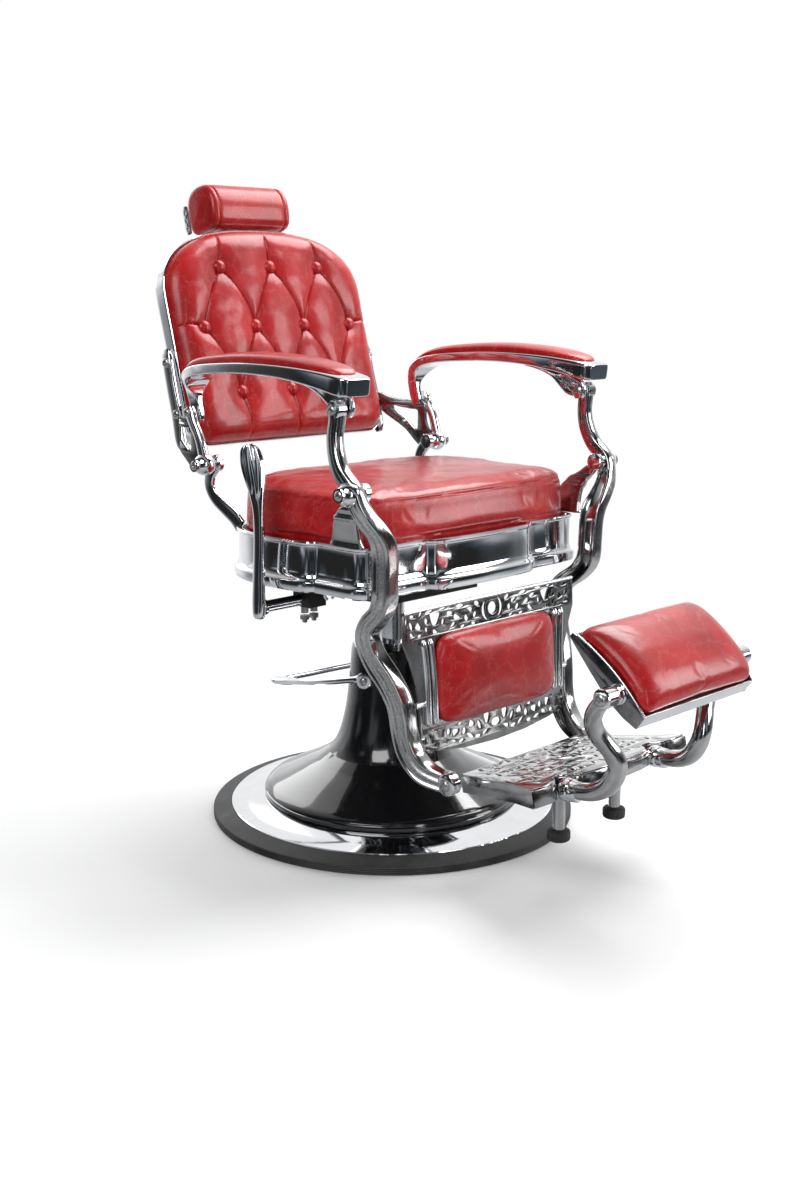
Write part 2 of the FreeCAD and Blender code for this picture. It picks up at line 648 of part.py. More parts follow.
def headrest():
    shell, low = size("shell_depth"), size("headrest_low")
    bar = Part.makeBox(42, 6, low - 14 - 190, Vector(-21, shell + 5, 190))
    slot = Part.makeBox(12, 10, 96, Vector(-6, shell + 3, 204))
    hinge_y, hinge_z = shell + 26, low - 18
    step = Part.makeBox(42, hinge_y - shell - 6, 8, Vector(-21, shell + 5, low - 26))
    knuckle = cross_pin(-21, 21, hinge_y, hinge_z, 9)
    knuckle = knuckle.cut(cross_pin(-30, 30, hinge_y, hinge_z, 4 + size("running_gap")))
    bar = bar.cut(slot).fuse([step, knuckle])
    bar = bar.cut(cross_pin(-30, 30, hinge_y, hinge_z, 4 + size("running_gap")))
    shaped("headrest_bar", bar, back_placement(0, 0))

    half, tall, deep = size("headrest_half"), size("headrest_tall"), size("headrest_deep")
    section = [Vector(-half, *point) for point in (
        (-8, low + 14), (-10, low + tall * 0.5), (8, low + tall - 6), (34, low + tall),
        (66, low + tall - 12), (deep - 10, low + tall * 0.5), (deep - 12, low + 10))]
    nose = Part.BSplineCurve()
    nose.interpolate(section)
    floor = [Vector(-half, deep - 22, low), Vector(-half, 2, low)]
    edges = [nose.toShape(), Part.LineSegment(section[-1], floor[0]).toShape(),
             Part.LineSegment(floor[0], floor[1]).toShape(),
             Part.LineSegment(floor[1], section[0]).toShape()]
    roll = Part.Face(Part.Wire(edges)).extrude(Vector(2 * half, 0, 0))
    shaped("headrest_pad", roll, back_placement(0, 0))
    ears = []
    for side in (-1, 1):
        ear = Part.makeBox(6, 22, 27, Vector(side * 25.5 - 3, hinge_y - 11, low - 27))
        ears.append(ear.cut(cross_pin(-30, 30, hinge_y, hinge_z, 4)))
    shaped("headrest_ears", Part.makeCompound(ears), back_placement(0, 0))
    shaped("headrest_pin", cross_pin(-31, 31, hinge_y, hinge_z, 4), back_placement(0, 0))


# ---------------------------------------------------------------- armrests

def armrests():
    rear_y, rear_z = size("arm_rear_y"), size("arm_rear_z")
    front_y, front_z = size("arm_front_y"), size("arm_front_z")
    tray = run((
        (286, rear_y + 2, rear_z - 14, 12, 26), (286, rear_y + 8, rear_z + 14, 14, 26),
        (288, rear_y + 4, rear_z + 42, 34, 26), (296, rear_y - 18, rear_z + 62, 64, 26),
        (304, rear_y - 60, rear_z + 74, 76, 28), (308, 60, rear_z + 80, 80, 30),
        (310, -40, rear_z + 80, 80, 30), (311, -120, rear_z + 78, 78, 30),
        (311, -190, rear_z + 70, 70, 28), (311, -226, rear_z + 62, 56, 26)), corner=0.25)
    tray = tray.cut(cross_pin(270, 300, rear_y, rear_z, size("rivet_radius") + size("running_gap")))
    lug = plate(((front_y + 16, front_z - 6), (front_y + 26, front_z + 30), (front_y - 22, front_z + 24),
                 (front_y - 16, front_z - 8), (front_y, front_z - 15)), 294, 305)
    lug = lug.cut(cross_pin(280, 320, front_y, front_z, size("rivet_radius") + size("open_gap")))
    both_sides("armrest_tray", tray.fuse(lug))
    pad = run((
        (299, rear_y - 30, rear_z + 84, 56, 16), (304, rear_y - 62, rear_z + 94, 68, 18),
        (308, 60, rear_z + 102, 72, 18), (310, -40, rear_z + 102, 72, 18),
        (311, -120, rear_z + 100, 70, 18), (311, -186, rear_z + 91, 60, 18),
        (311, -220, rear_z + 83, 44, 16)), corner=0.4)
    both_sides("armrest_pad", pad.cut(tray))


# ---------------------------------------------------------------- leg rest

def castings():
    y, z, ball = size("front_pivot_y"), size("front_pivot_z"), size("front_ball_x")
    arm_y, arm_z = size("arm_front_y"), size("arm_front_z")
    bar = run((
        (322, arm_y - 2, arm_z + 12, 24, 22), (322, arm_y, arm_z - 14, 26, 30),
        (325, arm_y + 2, 756, 26, 30), (329, arm_y - 12, 722, 27, 32), (ball, y, z, 28, 38),
        (322, y - 12, z - 36, 26, 36), (294, y - 17, z - 66, 26, 37), (274, y - 18, 574, 26, 38),
        (272, y - 18, 520, 26, 38), (268, y - 8, 480, 26, 36), (258, y + 26, 447, 26, 34),
        (253, y + 44, 418, 26, 36), (240, y + 38, 380, 26, 38), (224, y + 16, 338, 26, 38),
        (215, y + 2, 296, 26, 38), (212, y - 3, 250, 26, 38), (208, y - 20, 206, 26, 38),
        (196, y - 56, 180, 25, 36), (182, y - 92, 177, 24, 32)), corner=0.3)
    knuckle = Part.makeSphere(size("ball_radius") + 1, Vector(ball, y, z))
    eye = cross_pin(314, 336, arm_y, arm_z, 16)
    casting = bar.fuse([knuckle, eye])
    casting = casting.cut(cross_pin(300, 370, y, z, size("pin_radius") + size("running_gap")))
    casting = casting.cut(cross_pin(300, 350, arm_y, arm_z, size("rivet_radius")))
    both_sides("front_casting", casting)
    rivet = cross_pin(291, 338, arm_y, arm_z, size("rivet_radius"))
    both_sides("front_rivet", rivet.fuse(cross_pin(336, 341, arm_y, arm_z, 9)))


def calf_rest():
    lean = math.degrees(math.atan2(16, size("panel_high") - size("panel_low")))
    foot = Vector(0, -262, size("panel_low"))
    placement = Placement(foot, Rotation(X_AXIS, -lean))
    panel = new_body("calf_panel")
    sketch = outline(panel, "XZ_Plane", (
        ("-sizes.panel_waist", "0"), ("sizes.panel_waist", "0"),
        ("sizes.panel_waist", "110"), ("sizes.panel_half", "210"),
        ("sizes.panel_half", "sizes.panel_high - sizes.panel_low"),
        ("-sizes.panel_half", "sizes.panel_high - sizes.panel_low"),
        ("-sizes.panel_half", "210"), ("-sizes.panel_waist", "110")))
    padded(panel, sketch, "sizes.panel_thick")
    panel.Placement = placement
    openings(panel, "XZ_Plane", "low", (-170, 10, 30, 40), 8)
    openings(panel, "XZ_Plane", "high", (-196, 216, 34, 30), 9)

    pad = new_body("calf_pad")
    sketch = outline(pad, "XZ_Plane", (
        ("-sizes.calf_half", "sizes.calf_low - sizes.panel_low"),
        ("sizes.calf_half", "sizes.calf_low - sizes.panel_low"),
        ("sizes.calf_half", "sizes.calf_high - sizes.panel_low"),
        ("-sizes.calf_half", "sizes.calf_high - sizes.panel_low")))
    padded(pad, sketch, "sizes.calf_deep")
    half, deep = size("calf_half"), size("calf_deep")
    rounded(pad, lambda p, e: abs(abs(p.x) - half) < 1 and abs(e.Length - deep) < 1, "26")
    pad.Placement = placement.multiply(Placement(Vector(0, -size("panel_thick"), 0), Rotation()))
    studs = []
    for side in (-1, 1):
        for z in (240, 300):
            start = Vector(side * (size("panel_waist") - 10), -262, z)
            studs.append(Part.makeCylinder(5, 16, start, Vector(side, 0, 0)))
    shaped("panel_studs", Part.makeCompound(studs))


def openings(body, role, name, first, count):
    """A row of oblong openings; first is (left, low, wide, tall) of the leftmost one."""
    left, low, wide, tall = first
    sketch = outline(body, role, (
        (str(left), str(low)), (str(left + wide), str(low)),
        (str(left + wide), str(low + tall)), (str(left), str(low + tall))), "opening_" + name)
    pocket = pocketed(body, sketch)
    pattern = body.newObject("PartDesign::LinearPattern", "row_" + name)
    pattern.Originals = [pocket]
    pattern.Direction = (sketch, ["H_Axis"])
    pattern.Length = -2 * left - wide
    pattern.Occurrences = count
    body.Tip = pattern
    doc.recompute()


def footrest():
    slope = Rotation(X_AXIS, -size("tread_slope"))
    placement = Placement(Vector(0, size("tread_rear_y"), size("tread_rear_z")), slope)
    rear, front = size("tread_rear_half"), size("tread_front_half")
    length, nose = size("tread_run"), size("tread_nose")
    tread = new_body("footrest_plate")
    sketch = outline(tread, "XY_Plane", (
        ("-sizes.tread_rear_half", "0"), ("-sizes.tread_front_half + 22", "-sizes.tread_run + 60"),
        ("-sizes.tread_front_half", "-sizes.tread_run"),
        ("-100", "-sizes.tread_run - sizes.tread_nose"), ("100", "-sizes.tread_run - sizes.tread_nose"),
        ("sizes.tread_front_half", "-sizes.tread_run"),
        ("sizes.tread_front_half - 22", "-sizes.tread_run + 60"), ("sizes.tread_rear_half", "0")))
    padded(tread, sketch, "sizes.tread_thick", reverse=True)
    openings(tread, "XY_Plane", "rear", (-138, -84, 34, 56), 6)
    openings(tread, "XY_Plane", "front", (-148, -168, 36, 60), 6)
    tread.Placement = placement

    sides = []
    low = -size("tread_thick") - size("flange_deep")
    for side in (-1, 1):
        corners = [Vector(side * x, y, low) for x, y in (
            (rear, 0), (front - 22, -length + 60), (front, -length), (front - 10, -length),
            (front - 32, -length + 62), (rear - 10, 0))]
        rail = Part.Face(Part.makePolygon(corners + corners[:1]))
        sides.append(rail.extrude(Vector(0, 0, size("flange_deep"))))
    beam = Part.makeBox(2 * front - 24, 16, size("flange_deep"),
                        Vector(-front + 12, -length + 2, low))
    shaped("footrest_frame", sides[0].fuse([sides[1], beam]).removeSplitter(), placement)

    x, y = size("leg_x"), size("leg_y")
    foot_low, foot_tall = size("leg_foot"), size("foot_tall")
    under = slope.multVec(Vector(0, y - size("tread_rear_y"), 0)).z + size("tread_rear_z")
    top = under - size("tread_thick") - 2
    legs, feet = [], []
    for side in (-1, 1):
        stem = Part.makeCylinder(size("leg_radius"), top - foot_low - foot_tall,
                                 Vector(side * x, y, foot_low + foot_tall))
        collar = Part.makeCylinder(16, 12, Vector(side * x, y, top - 12))
        legs.append(stem.fuse(collar))
        foot = Part.makeCylinder(size("foot_radius"), foot_tall, Vector(side * x, y, foot_low))
        feet.append(foot.makeChamfer(3, [edge for edge in foot.Edges if len(edge.Vertexes) == 1]))
    shaped("prop_legs", Part.makeCompound(legs))
    shaped("rubber_feet", Part.makeCompound(feet))

    pivot_y, pivot_z = size("pad_pivot_y"), size("pad_pivot_z")
    arm = tube((
        (122, -546, 200, 15), (120, -572, 205, 15), (118, -602, 222, 14), (116, -622, 250, 13.5),
        (120, -625, 276, 13), (134, -617, 300, 13), (152, -613, 326, 12.5), (170, -622, 354, 12.5),
        (182, -640, 380, 12), (186, pivot_y, pivot_z + 4, 12)))
    boss = cross_pin(172, 198, pivot_y, pivot_z, 15)
    arm = arm.fuse([boss, Part.makeCylinder(17, 26, Vector(122, -526, 200), Vector(0, -1, -0.12))])
    arm = arm.cut(cross_pin(160, 210, pivot_y, pivot_z, 6 + size("running_gap")))
    both_sides("foot_arm", arm)


def foot_pad():
    tilt = Rotation(X_AXIS, size("pad_slope"))
    placement = Placement(Vector(0, size("pad_pivot_y"), size("pad_pivot_z")), tilt)
    half, behind, ahead = size("pad_half"), size("pad_behind"), size("pad_ahead")
    tray = Part.makeBox(2 * half, behind + ahead, 22, Vector(-half, -ahead, -9))
    hollow = Part.makeBox(2 * half - 10, behind + ahead - 10, 22, Vector(-half + 5, -ahead + 5, -4))
    bores = cross_pin(-half - 1, half + 1, 0, 0, 6)
    shaped("foot_pad_tray", tray.cut(hollow).cut(bores), placement)
    inner = half - 6
    cushion = Part.makeBox(2 * inner, behind + ahead - 12, 30, Vector(-inner, -ahead + 6, 13.3))
    cushion = softened(cushion, lambda p, e: abs(p.z - 43.3) < 1, 22)
    shaped("foot_pad", cushion, placement)
    pins = []
    for side in (-1, 1):
        start = Vector(side * (half - 5), 0, 0)
        pin = Part.makeCylinder(6, 54, start, Vector(side, 0, 0))
        collar = Part.makeCylinder(11, 14, Vector(side * half, 0, 0), Vector(side, 0, 0))
        head = Part.makeCylinder(11, 4, Vector(side * (half + 47), 0, 0), Vector(side, 0, 0))
        pins.append(pin.fuse([collar, head]))
    shaped("foot_pad_pins", Part.makeCompound(pins), placement)


# ---------------------------------------------------------------- whole chair

for make in (base, column, pump_handle, seat, recline_lever, back, headrest, armrests, castings,
             calf_rest, footrest, foot_pad):
    make()
doc.recompute()

for thing in doc.Objects:
    if {"Invalid", "Error"} & set(thing.State):
        raise ValueError("failed: " + thing.Label)

os.makedirs("parts", exist_ok=True)
for piece in pieces:
    shape = piece.Shape
    if shape.isNull() or not shape.isValid() or shape.Volume < 1:
        raise ValueError("bad shape: " + piece.Label)
    shape.exportStep("parts/%s.step" % piece.Label)
    print(piece.Label, len(shape.Solids), round(shape.Volume))
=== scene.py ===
import json
import math

import bmesh
import bpy
import numpy as np
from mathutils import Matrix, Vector, noise

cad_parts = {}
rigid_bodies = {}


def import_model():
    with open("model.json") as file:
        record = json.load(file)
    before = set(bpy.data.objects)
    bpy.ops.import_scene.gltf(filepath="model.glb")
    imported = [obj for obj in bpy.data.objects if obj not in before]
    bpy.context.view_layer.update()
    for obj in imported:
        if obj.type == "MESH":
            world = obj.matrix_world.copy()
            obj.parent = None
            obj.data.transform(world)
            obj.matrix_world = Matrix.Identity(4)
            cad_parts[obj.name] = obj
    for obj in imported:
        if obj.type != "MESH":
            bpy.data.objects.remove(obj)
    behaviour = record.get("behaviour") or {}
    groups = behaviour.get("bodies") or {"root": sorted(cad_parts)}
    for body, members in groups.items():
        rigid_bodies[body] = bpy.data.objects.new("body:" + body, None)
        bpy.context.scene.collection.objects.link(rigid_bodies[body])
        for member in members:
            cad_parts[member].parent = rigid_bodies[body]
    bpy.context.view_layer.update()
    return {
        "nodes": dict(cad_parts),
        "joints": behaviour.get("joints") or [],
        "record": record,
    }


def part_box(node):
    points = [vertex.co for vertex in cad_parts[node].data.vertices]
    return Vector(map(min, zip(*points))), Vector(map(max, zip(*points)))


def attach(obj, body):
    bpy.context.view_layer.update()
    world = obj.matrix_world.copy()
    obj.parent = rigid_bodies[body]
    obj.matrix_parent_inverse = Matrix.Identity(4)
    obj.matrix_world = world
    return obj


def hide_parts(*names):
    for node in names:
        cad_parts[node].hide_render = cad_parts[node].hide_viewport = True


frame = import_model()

# The hydraulic barber chair's looks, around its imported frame. Shapes are worked out in millimetres in
# the chair's own frame and turned into metres as their meshes are made: +Z up, the sitter faces -Y,
# and the sitter's left is +X. Materials, lamps and the camera use metres.

MM = 0.001
RIGHT, LEFT = -1, 1
SIDES = ((LEFT, "left"), (RIGHT, "right"))


def box_mm(node):
    low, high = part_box(node)
    return np.array(low) / MM, np.array(high) / MM


def joint_mm(name):
    for joint in frame["joints"]:
        if joint["name"] == name:
            return np.array(joint["pos_m"]) / MM
    raise ValueError(name)


# ---------------------------------------------------------------- materials

def new_material(name, colour, rough, metallic=0.0):
    material = bpy.data.materials.new(name)
    material.use_nodes = True
    shader = material.node_tree.nodes["Principled BSDF"]
    shader.inputs["Base Color"].default_value = (*colour, 1)
    shader.inputs["Roughness"].default_value = rough
    shader.inputs["Metallic"].default_value = metallic
    return material, material.node_tree, shader


def texture(tree, kind, scale, **settings):
    """A procedural texture on object coordinates, which are metres in the chair's frame."""
    node = tree.nodes.new(kind)
    coords = tree.nodes.get("Texture Coordinate") or tree.nodes.new("ShaderNodeTexCoord")
    tree.links.new(coords.outputs["Object"], node.inputs["Vector"])
    node.inputs["Scale"].default_value = scale
    for key, value in settings.items():
        if key in node.inputs:
            node.inputs[key].default_value = value
        else:
            setattr(node, key.lower(), value)
    return node


def ramp(tree, source, stops):
    node = tree.nodes.new("ShaderNodeValToRGB")
    elements = node.color_ramp.elements
    while len(elements) < len(stops):
        elements.new(0.5)
    for element, (place, colour) in zip(elements, stops):
        element.position = place
        value = colour if isinstance(colour, tuple) else (colour,) * 3
        element.color = (*value, 1)
    tree.links.new(source, node.inputs["Fac"])
    return node.outputs["Color"]


def blend_colour(tree, mode, factor, first, second):
    node = tree.nodes.new("ShaderNodeMix")
    node.data_type = "RGBA"
    node.blend_type = mode
    if isinstance(factor, (int, float)):
        node.inputs["Factor"].default_value = factor
    else:
        tree.links.new(factor, node.inputs["Factor"])
    for socket, value in (("A", first), ("B", second)):
        target = [item for item in node.inputs if item.name == socket and item.type == "RGBA"][0]
        if isinstance(value, tuple):
            target.default_value = (*value, 1)
        else:
            tree.links.new(value, target)
    return [item for item in node.outputs if item.type == "RGBA"][0]


def bump(tree, shader, layers):
    """Stack of bumps on a shader; layers are (height socket, strength, distance in metres)."""
    normal = None
    for height, strength, distance in layers:
        node = tree.nodes.new("ShaderNodeBump")
        node.inputs["Strength"].default_value = strength
        node.inputs["Distance"].default_value = distance
        tree.links.new(height, node.inputs["Height"])
        if normal is not None:
            tree.links.new(normal, node.inputs["Normal"])
        normal = node.outputs["Normal"]
    tree.links.new(normal, shader.inputs["Normal"])


def drive(tree, shader, socket, source, *stops):
    """Feeds a shader's socket from a ramp over another socket; stops are (place, grey or colour)."""
    tree.links.new(ramp(tree, source, stops), shader.inputs[socket])


def make_leather():
    material, tree, shader = new_material("red_leather", (0.45, 0.02, 0.02), 0.36)
    clouds = texture(tree, "ShaderNodeTexNoise", 9, Detail=6.0, Roughness=0.62, Distortion=0.5)
    patches = texture(tree, "ShaderNodeTexNoise", 34, Detail=8.0, Roughness=0.7, Distortion=1.2)
    veins = texture(tree, "ShaderNodeTexVoronoi", 26, feature="DISTANCE_TO_EDGE")
    grain = texture(tree, "ShaderNodeTexVoronoi", 950, feature="F1")
    folds = texture(tree, "ShaderNodeTexNoise", 70, Detail=5.0, Roughness=0.6, Distortion=2.2)
    warp = tree.nodes.new("ShaderNodeVectorMath")
    warp.operation = "MULTIPLY_ADD"
    tree.links.new(folds.outputs["Color"], warp.inputs[0])
    warp.inputs[1].default_value = (0.03, 0.03, 0.03)
    tree.links.new(tree.nodes["Texture Coordinate"].outputs["Object"], warp.inputs[2])
    tree.links.new(warp.outputs["Vector"], veins.inputs["Vector"])
    base = ramp(tree, clouds.outputs["Fac"], (
        (0.30, (0.29, 0.004, 0.005)), (0.50, (0.42, 0.006, 0.008)), (0.72, (0.52, 0.013, 0.014))))
    # Pale pinkish patches at random over the base colour: partly wear, partly a painted highlight standing
    # in for the leather's sheen. The same patches are a little rougher.
    pale = ramp(tree, patches.outputs["Fac"], ((0.58, 0.0), (0.84, 0.24)))
    wear_and_painted_sheen = blend_colour(tree, "MIX", pale, base, (0.62, 0.10, 0.10))
    lines = ramp(tree, veins.outputs["Distance"], ((0.0, 0.24), (0.03, 0.0)))
    colour = blend_colour(tree, "MIX", lines, wear_and_painted_sheen, (0.70, 0.24, 0.21))
    tree.links.new(colour, shader.inputs["Base Color"])
    drive(tree, shader, "Roughness", patches.outputs["Fac"], (0.3, 0.32), (0.75, 0.42))
    shader.inputs["Specular IOR Level"].default_value = 0.30
    shader.inputs["Coat Weight"].default_value = 0.42
    shader.inputs["Coat Roughness"].default_value = 0.17
    bump(tree, shader, (
        (folds.outputs["Fac"], 0.26, 0.0008), (veins.outputs["Distance"], 0.18, 0.0006),
        (grain.outputs["Distance"], 0.22, 0.00025)))
    return material


def grained(name, colour, rough, metallic, grains, drives, raised):
    """Material over one or two noises, each (scale, detail, roughness).

    A drive is (which noise, socket, *stops), and raised is (which noise, bump strength, distance).
    """
    material, tree, shader = new_material(name, colour, rough, metallic)
    noises = [texture(tree, "ShaderNodeTexNoise", scale, Detail=detail, Roughness=contrast).outputs["Fac"]
              for scale, detail, contrast in grains]
    for which, socket, *stops in drives:
        drive(tree, shader, socket, noises[which], *stops)
    which, strength, distance = raised
    bump(tree, shader, ((noises[which], strength, distance),))
    return material


def make_grey_metal(name, dark, light, smooth, rough):
    """Bare metal between two greys and two roughnesses, duller than the chrome."""
    return grained(name, (light,) * 3, rough, 1.0, ((30, 5, 0.6), (300, 3, 0.5)), (
        (0, "Roughness", (0.3, smooth), (0.75, rough)),
        (0, "Base Color", (0.3, dark), (0.75, light))), (1, 0.2, 0.0004))


def make_plywood():
    material, tree, shader = new_material("plywood", (0.35, 0.23, 0.13), 0.6)
    rings = texture(tree, "ShaderNodeTexWave", 12, Distortion=6.0, Detail=3.0).outputs["Fac"]
    drive(tree, shader, "Base Color", rings, (0.2, (0.28, 0.17, 0.09)), (0.8, (0.42, 0.29, 0.17)))
    bump(tree, shader, ((rings, 0.1, 0.0003),))
    return material


LEATHER = make_leather()
CHROME = grained("chrome", (0.80, 0.81, 0.83), 0.05, 1.0, ((14, 5, 0.6), (38, 2, 0.5)), (
    (0, "Roughness", (0.35, 0.035), (0.75, 0.11)),
    (0, "Base Color", (0.3, (0.84, 0.85, 0.87)), (0.8, (0.74, 0.75, 0.77)))), (1, 0.12, 0.0006))
# Plated casting left rough in its flutes.
CAST = grained("cast_chrome", (0.6, 0.6, 0.61), 0.26, 1.0, ((420, 4, 0.7), (60, 4, 0.5)), (
    (1, "Roughness", (0.3, 0.20), (0.75, 0.40)),
    (0, "Base Color", (0.35, 0.32), (0.62, 0.72))), (0, 0.55, 0.0008))
PEWTER = make_grey_metal("pewter", 0.18, 0.36, 0.14, 0.30)
ALLOY = make_grey_metal("polished_alloy", 0.42, 0.58, 0.08, 0.18)
# Paint with a little orange peel and dust under a clear coat.
GLOSS = grained("black_gloss", (0.006, 0.006, 0.007), 0.16, 0.0, ((130, 2, 0.5), (900, 3, 0.5)), (
    (1, "Base Color", (0.62, (0.006, 0.006, 0.007)), (0.8, (0.03, 0.03, 0.03))),
    (0, "Roughness", (0.3, 0.10), (0.8, 0.20))), (0, 0.05, 0.0004))
coated = GLOSS.node_tree.nodes["Principled BSDF"]
coated.inputs["Coat Weight"].default_value = 1.0
coated.inputs["Coat Roughness"].default_value = 0.03
RUBBER = grained("black_rubber", (0.02, 0.02, 0.021), 0.6, 0.0, ((500, 5, 0.7), (22, 7, 0.7)), (
    (1, "Base Color", (0.4, (0.014, 0.014, 0.015)), (0.8, (0.055, 0.055, 0.057))),
    (1, "Roughness", (0.3, 0.5), (0.8, 0.72))), (0, 0.4, 0.0004))
SATIN = grained("satin_black", (0.012, 0.012, 0.012), 0.42, 0.0, ((300, 4, 0.5),), (
    (0, "Roughness", (0.3, 0.34), (0.8, 0.55)),
    (0, "Base Color", (0.4, 0.008), (0.8, 0.022))), (0, 0.25, 0.0003))
STEEL = grained("machined_steel", (0.5, 0.5, 0.5), 0.3, 1.0, ((600, 3, 0.5),), (
    (0, "Roughness", (0.3, 0.22), (0.75, 0.42)),
    (0, "Base Color", (0.3, 0.42), (0.75, 0.6))), (0, 0.2, 0.0002))
PLYWOOD = make_plywood()
OF_SLOT = {"red_leather": LEATHER, "chrome": CHROME, "black_gloss": GLOSS, "black_rubber": RUBBER,
           "painted_steel": SATIN, "bearing_steel": STEEL, "board": PLYWOOD}


def dress_cad_nodes():
    for part in frame["record"]["subparts"]:
        node = frame["nodes"][part["node"]]
        thing = node if hasattr(node, "data") else bpy.data.objects[part["node"]]
        thing.data.materials.clear()
        thing.data.materials.append(OF_SLOT[part["material_slot"]])


# ---------------------------------------------------------------- ways of making a mesh

def mesh_piece(name, points, faces, material, body, *replaced, sub=0, sharp=40, second=None):
    """A named piece from points in millimetres; second is (material, test on a face centre's index)."""
    mesh = bpy.data.meshes.new(name)
    mesh.from_pydata([tuple(p) for p in np.asarray(points, float) * MM], [], faces)
    return finish_mesh(name, mesh, material, body, replaced, sub, sharp, second)


def finish_mesh(name, mesh, material, body, replaced=(), sub=0, sharp=40, second=None):
    piece = bpy.data.objects.new(name, mesh)
    bpy.context.scene.collection.objects.link(piece)
    mesh.materials.append(material)
    if second is not None:
        mesh.materials.append(second[0])
        for polygon in mesh.polygons:
            polygon.material_index = int(second[1](polygon.index))
    shape = bmesh.new()
    shape.from_mesh(mesh)
    bmesh.ops.remove_doubles(shape, verts=shape.verts, dist=0.00002)
    bmesh.ops.recalc_face_normals(shape, faces=shape.faces)
    shape.to_mesh(mesh)
    shape.free()
    if sub:
        modifier = piece.modifiers.new("smooth", "SUBSURF")
        modifier.levels = modifier.render_levels = sub
        apply_modifiers(piece)
    mesh = piece.data
    mesh.polygons.foreach_set("use_smooth", [True] * len(mesh.polygons))
    mesh.set_sharp_from_angle(angle=math.radians(sharp))
    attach(piece, body)
    if replaced:
        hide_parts(*replaced)
    return piece


def apply_modifiers(piece):
    graph = bpy.context.evaluated_depsgraph_get()
    graph.update()
    flat = bpy.data.meshes.new_from_object(piece.evaluated_get(graph), depsgraph=graph)
    piece.modifiers.clear()
    piece.data = flat


def grid_faces(rings, around):
    faces = []
    for k in range(rings - 1):
        for j in range(around):
            a, b = k * around + j, k * around + (j + 1) % around
            faces.append((a, b, b + around, a + around))
    return faces


def closed_faces(rings, around, wind=1):
    """Faces of a skin over rings, with one more face over each end; wind -1 turns those two over."""
    last = (rings - 1) * around
    ends = [tuple(range(around))[::-wind], tuple(range(last, last + around))[::wind]]
    return grid_faces(rings, around) + ends


def skin(name, rings, material, body, *replaced, **options):
    """Closed skin over rings of equal count."""
    return mesh_piece(name, np.concatenate(rings), closed_faces(len(rings), len(rings[0])), material, body,
                      *replaced, **options)


def loft(name, rings, material, body, *replaced, sub=1, sharp=40, crisp=0.06, second=None):
    """Skin over closed rings, with flat ends whose edges stay crisp when it is subdivided."""
    rings = [np.asarray(ring, float) for ring in rings]
    first, last = rings[0], rings[-1]
    rings = ([first.mean(0) + (first - first.mean(0)) * f for f in (1 - 4 * crisp, 1 - crisp)]
             + rings
             + [last.mean(0) + (last - last.mean(0)) * f for f in (1 - crisp, 1 - 4 * crisp)])
    return skin(name, rings, material, body, *replaced, sub=sub, sharp=sharp, second=second)


def circle(radius, around):
    """Evenly spaced points on a circle, as rows of x, y."""
    turns = np.linspace(0, math.tau, around, endpoint=False)
    return np.stack([radius * np.cos(turns), radius * np.sin(turns)], 1)


def layer(flat, height):
    """Flat points as rows of x, y, z at one height."""
    return np.column_stack([flat, np.full(len(flat), float(height))])


def spun(name, profile, material, body, *replaced, around=160, sharp=30):
    """Hollow piece turned about the chair's upright axis; profile is a closed loop of (radius, height)."""
    rings = [layer(circle(radius, around), height) for radius, height in [*profile, profile[0]]]
    return mesh_piece(name, np.concatenate(rings), grid_faces(len(rings), around), material, body,
                      *replaced, sharp=sharp)


def smooth_path(points, per=6):
    """Points on a centripetal curve through every station; extra columns are carried along."""
    points = np.asarray(points, float)
    wide = np.concatenate([[2 * points[0] - points[1]], points, [2 * points[-1] - points[-2]]])
    result = [curve_point(wide[k - 1:k + 3], t)
              for k in range(1, len(wide) - 2) for t in np.linspace(0, 1, per, endpoint=False)]
    return np.array(result + [points[-1]])


def curve_point(four, t):
    """Point between the middle two of four stations of a centripetal Catmull-Rom curve."""
    knots = [0.0]
    for a, b in zip(four, four[1:]):
        knots.append(knots[-1] + max(np.linalg.norm((b - a)[:3]), 0.001) ** 0.5)
    at = knots[1] + t * (knots[2] - knots[1])
    level = list(four)
    for low, high in (((0, 1, 2), (1, 2, 3)), ((0, 1), (2, 3)), ((1,), (2,))):
        level = [(a * (knots[h] - at) + b * (at - knots[l])) / (knots[h] - knots[l])
                 for a, b, l, h in zip(level, level[1:], low, high)]
    return level[0]


def closed_curve(points, count):
    """Evenly spaced points on a smooth closed curve, and their outward normals, for a flat outline."""
    points = np.asarray(points, float)
    total = len(points)
    dense = np.array([curve_point(points[[(k - 1) % total, k, (k + 1) % total, (k + 2) % total]], t)
                      for k in range(total) for t in np.linspace(0, 1, 16, endpoint=False)])
    loop = np.concatenate([dense, dense[:1]])
    lengths = np.concatenate([[0], np.cumsum(np.linalg.norm(np.diff(loop, axis=0), axis=1))])
    wanted = np.linspace(0, lengths[-1], count, endpoint=False)
    even = np.stack([np.interp(wanted, lengths, loop[:, axis]) for axis in (0, 1)], 1)
    tangent = np.roll(even, -1, 0) - np.roll(even, 1, 0)
    tangent /= np.linalg.norm(tangent, axis=1)[:, None]
    normal = np.stack([tangent[:, 1], -tangent[:, 0]], 1)
    area = np.sum(even[:, 0] * np.roll(even[:, 1], -1) - np.roll(even[:, 0], -1) * even[:, 1])
    return even, normal if area > 0 else -normal


def frames_along(path):
    """Centres, and vectors across and aside, for a bar that lies near a plane of constant X."""
    centres = path[:, :3]
    tangent = np.gradient(centres, axis=0)
    tangent /= np.linalg.norm(tangent, axis=1)[:, None]
    across = np.cross(tangent, (1, 0, 0))
    across /= np.linalg.norm(across, axis=1)[:, None]
    return centres, across, np.cross(across, tangent)


def oval(power, count):
    """Unit outline between an ellipse (power 2) and a rectangle (a high power)."""
    c, s = circle(1, count).T
    return np.stack([np.sign(c) * np.abs(c) ** (2 / power), np.sign(s) * np.abs(s) ** (2 / power)], 1) / 2


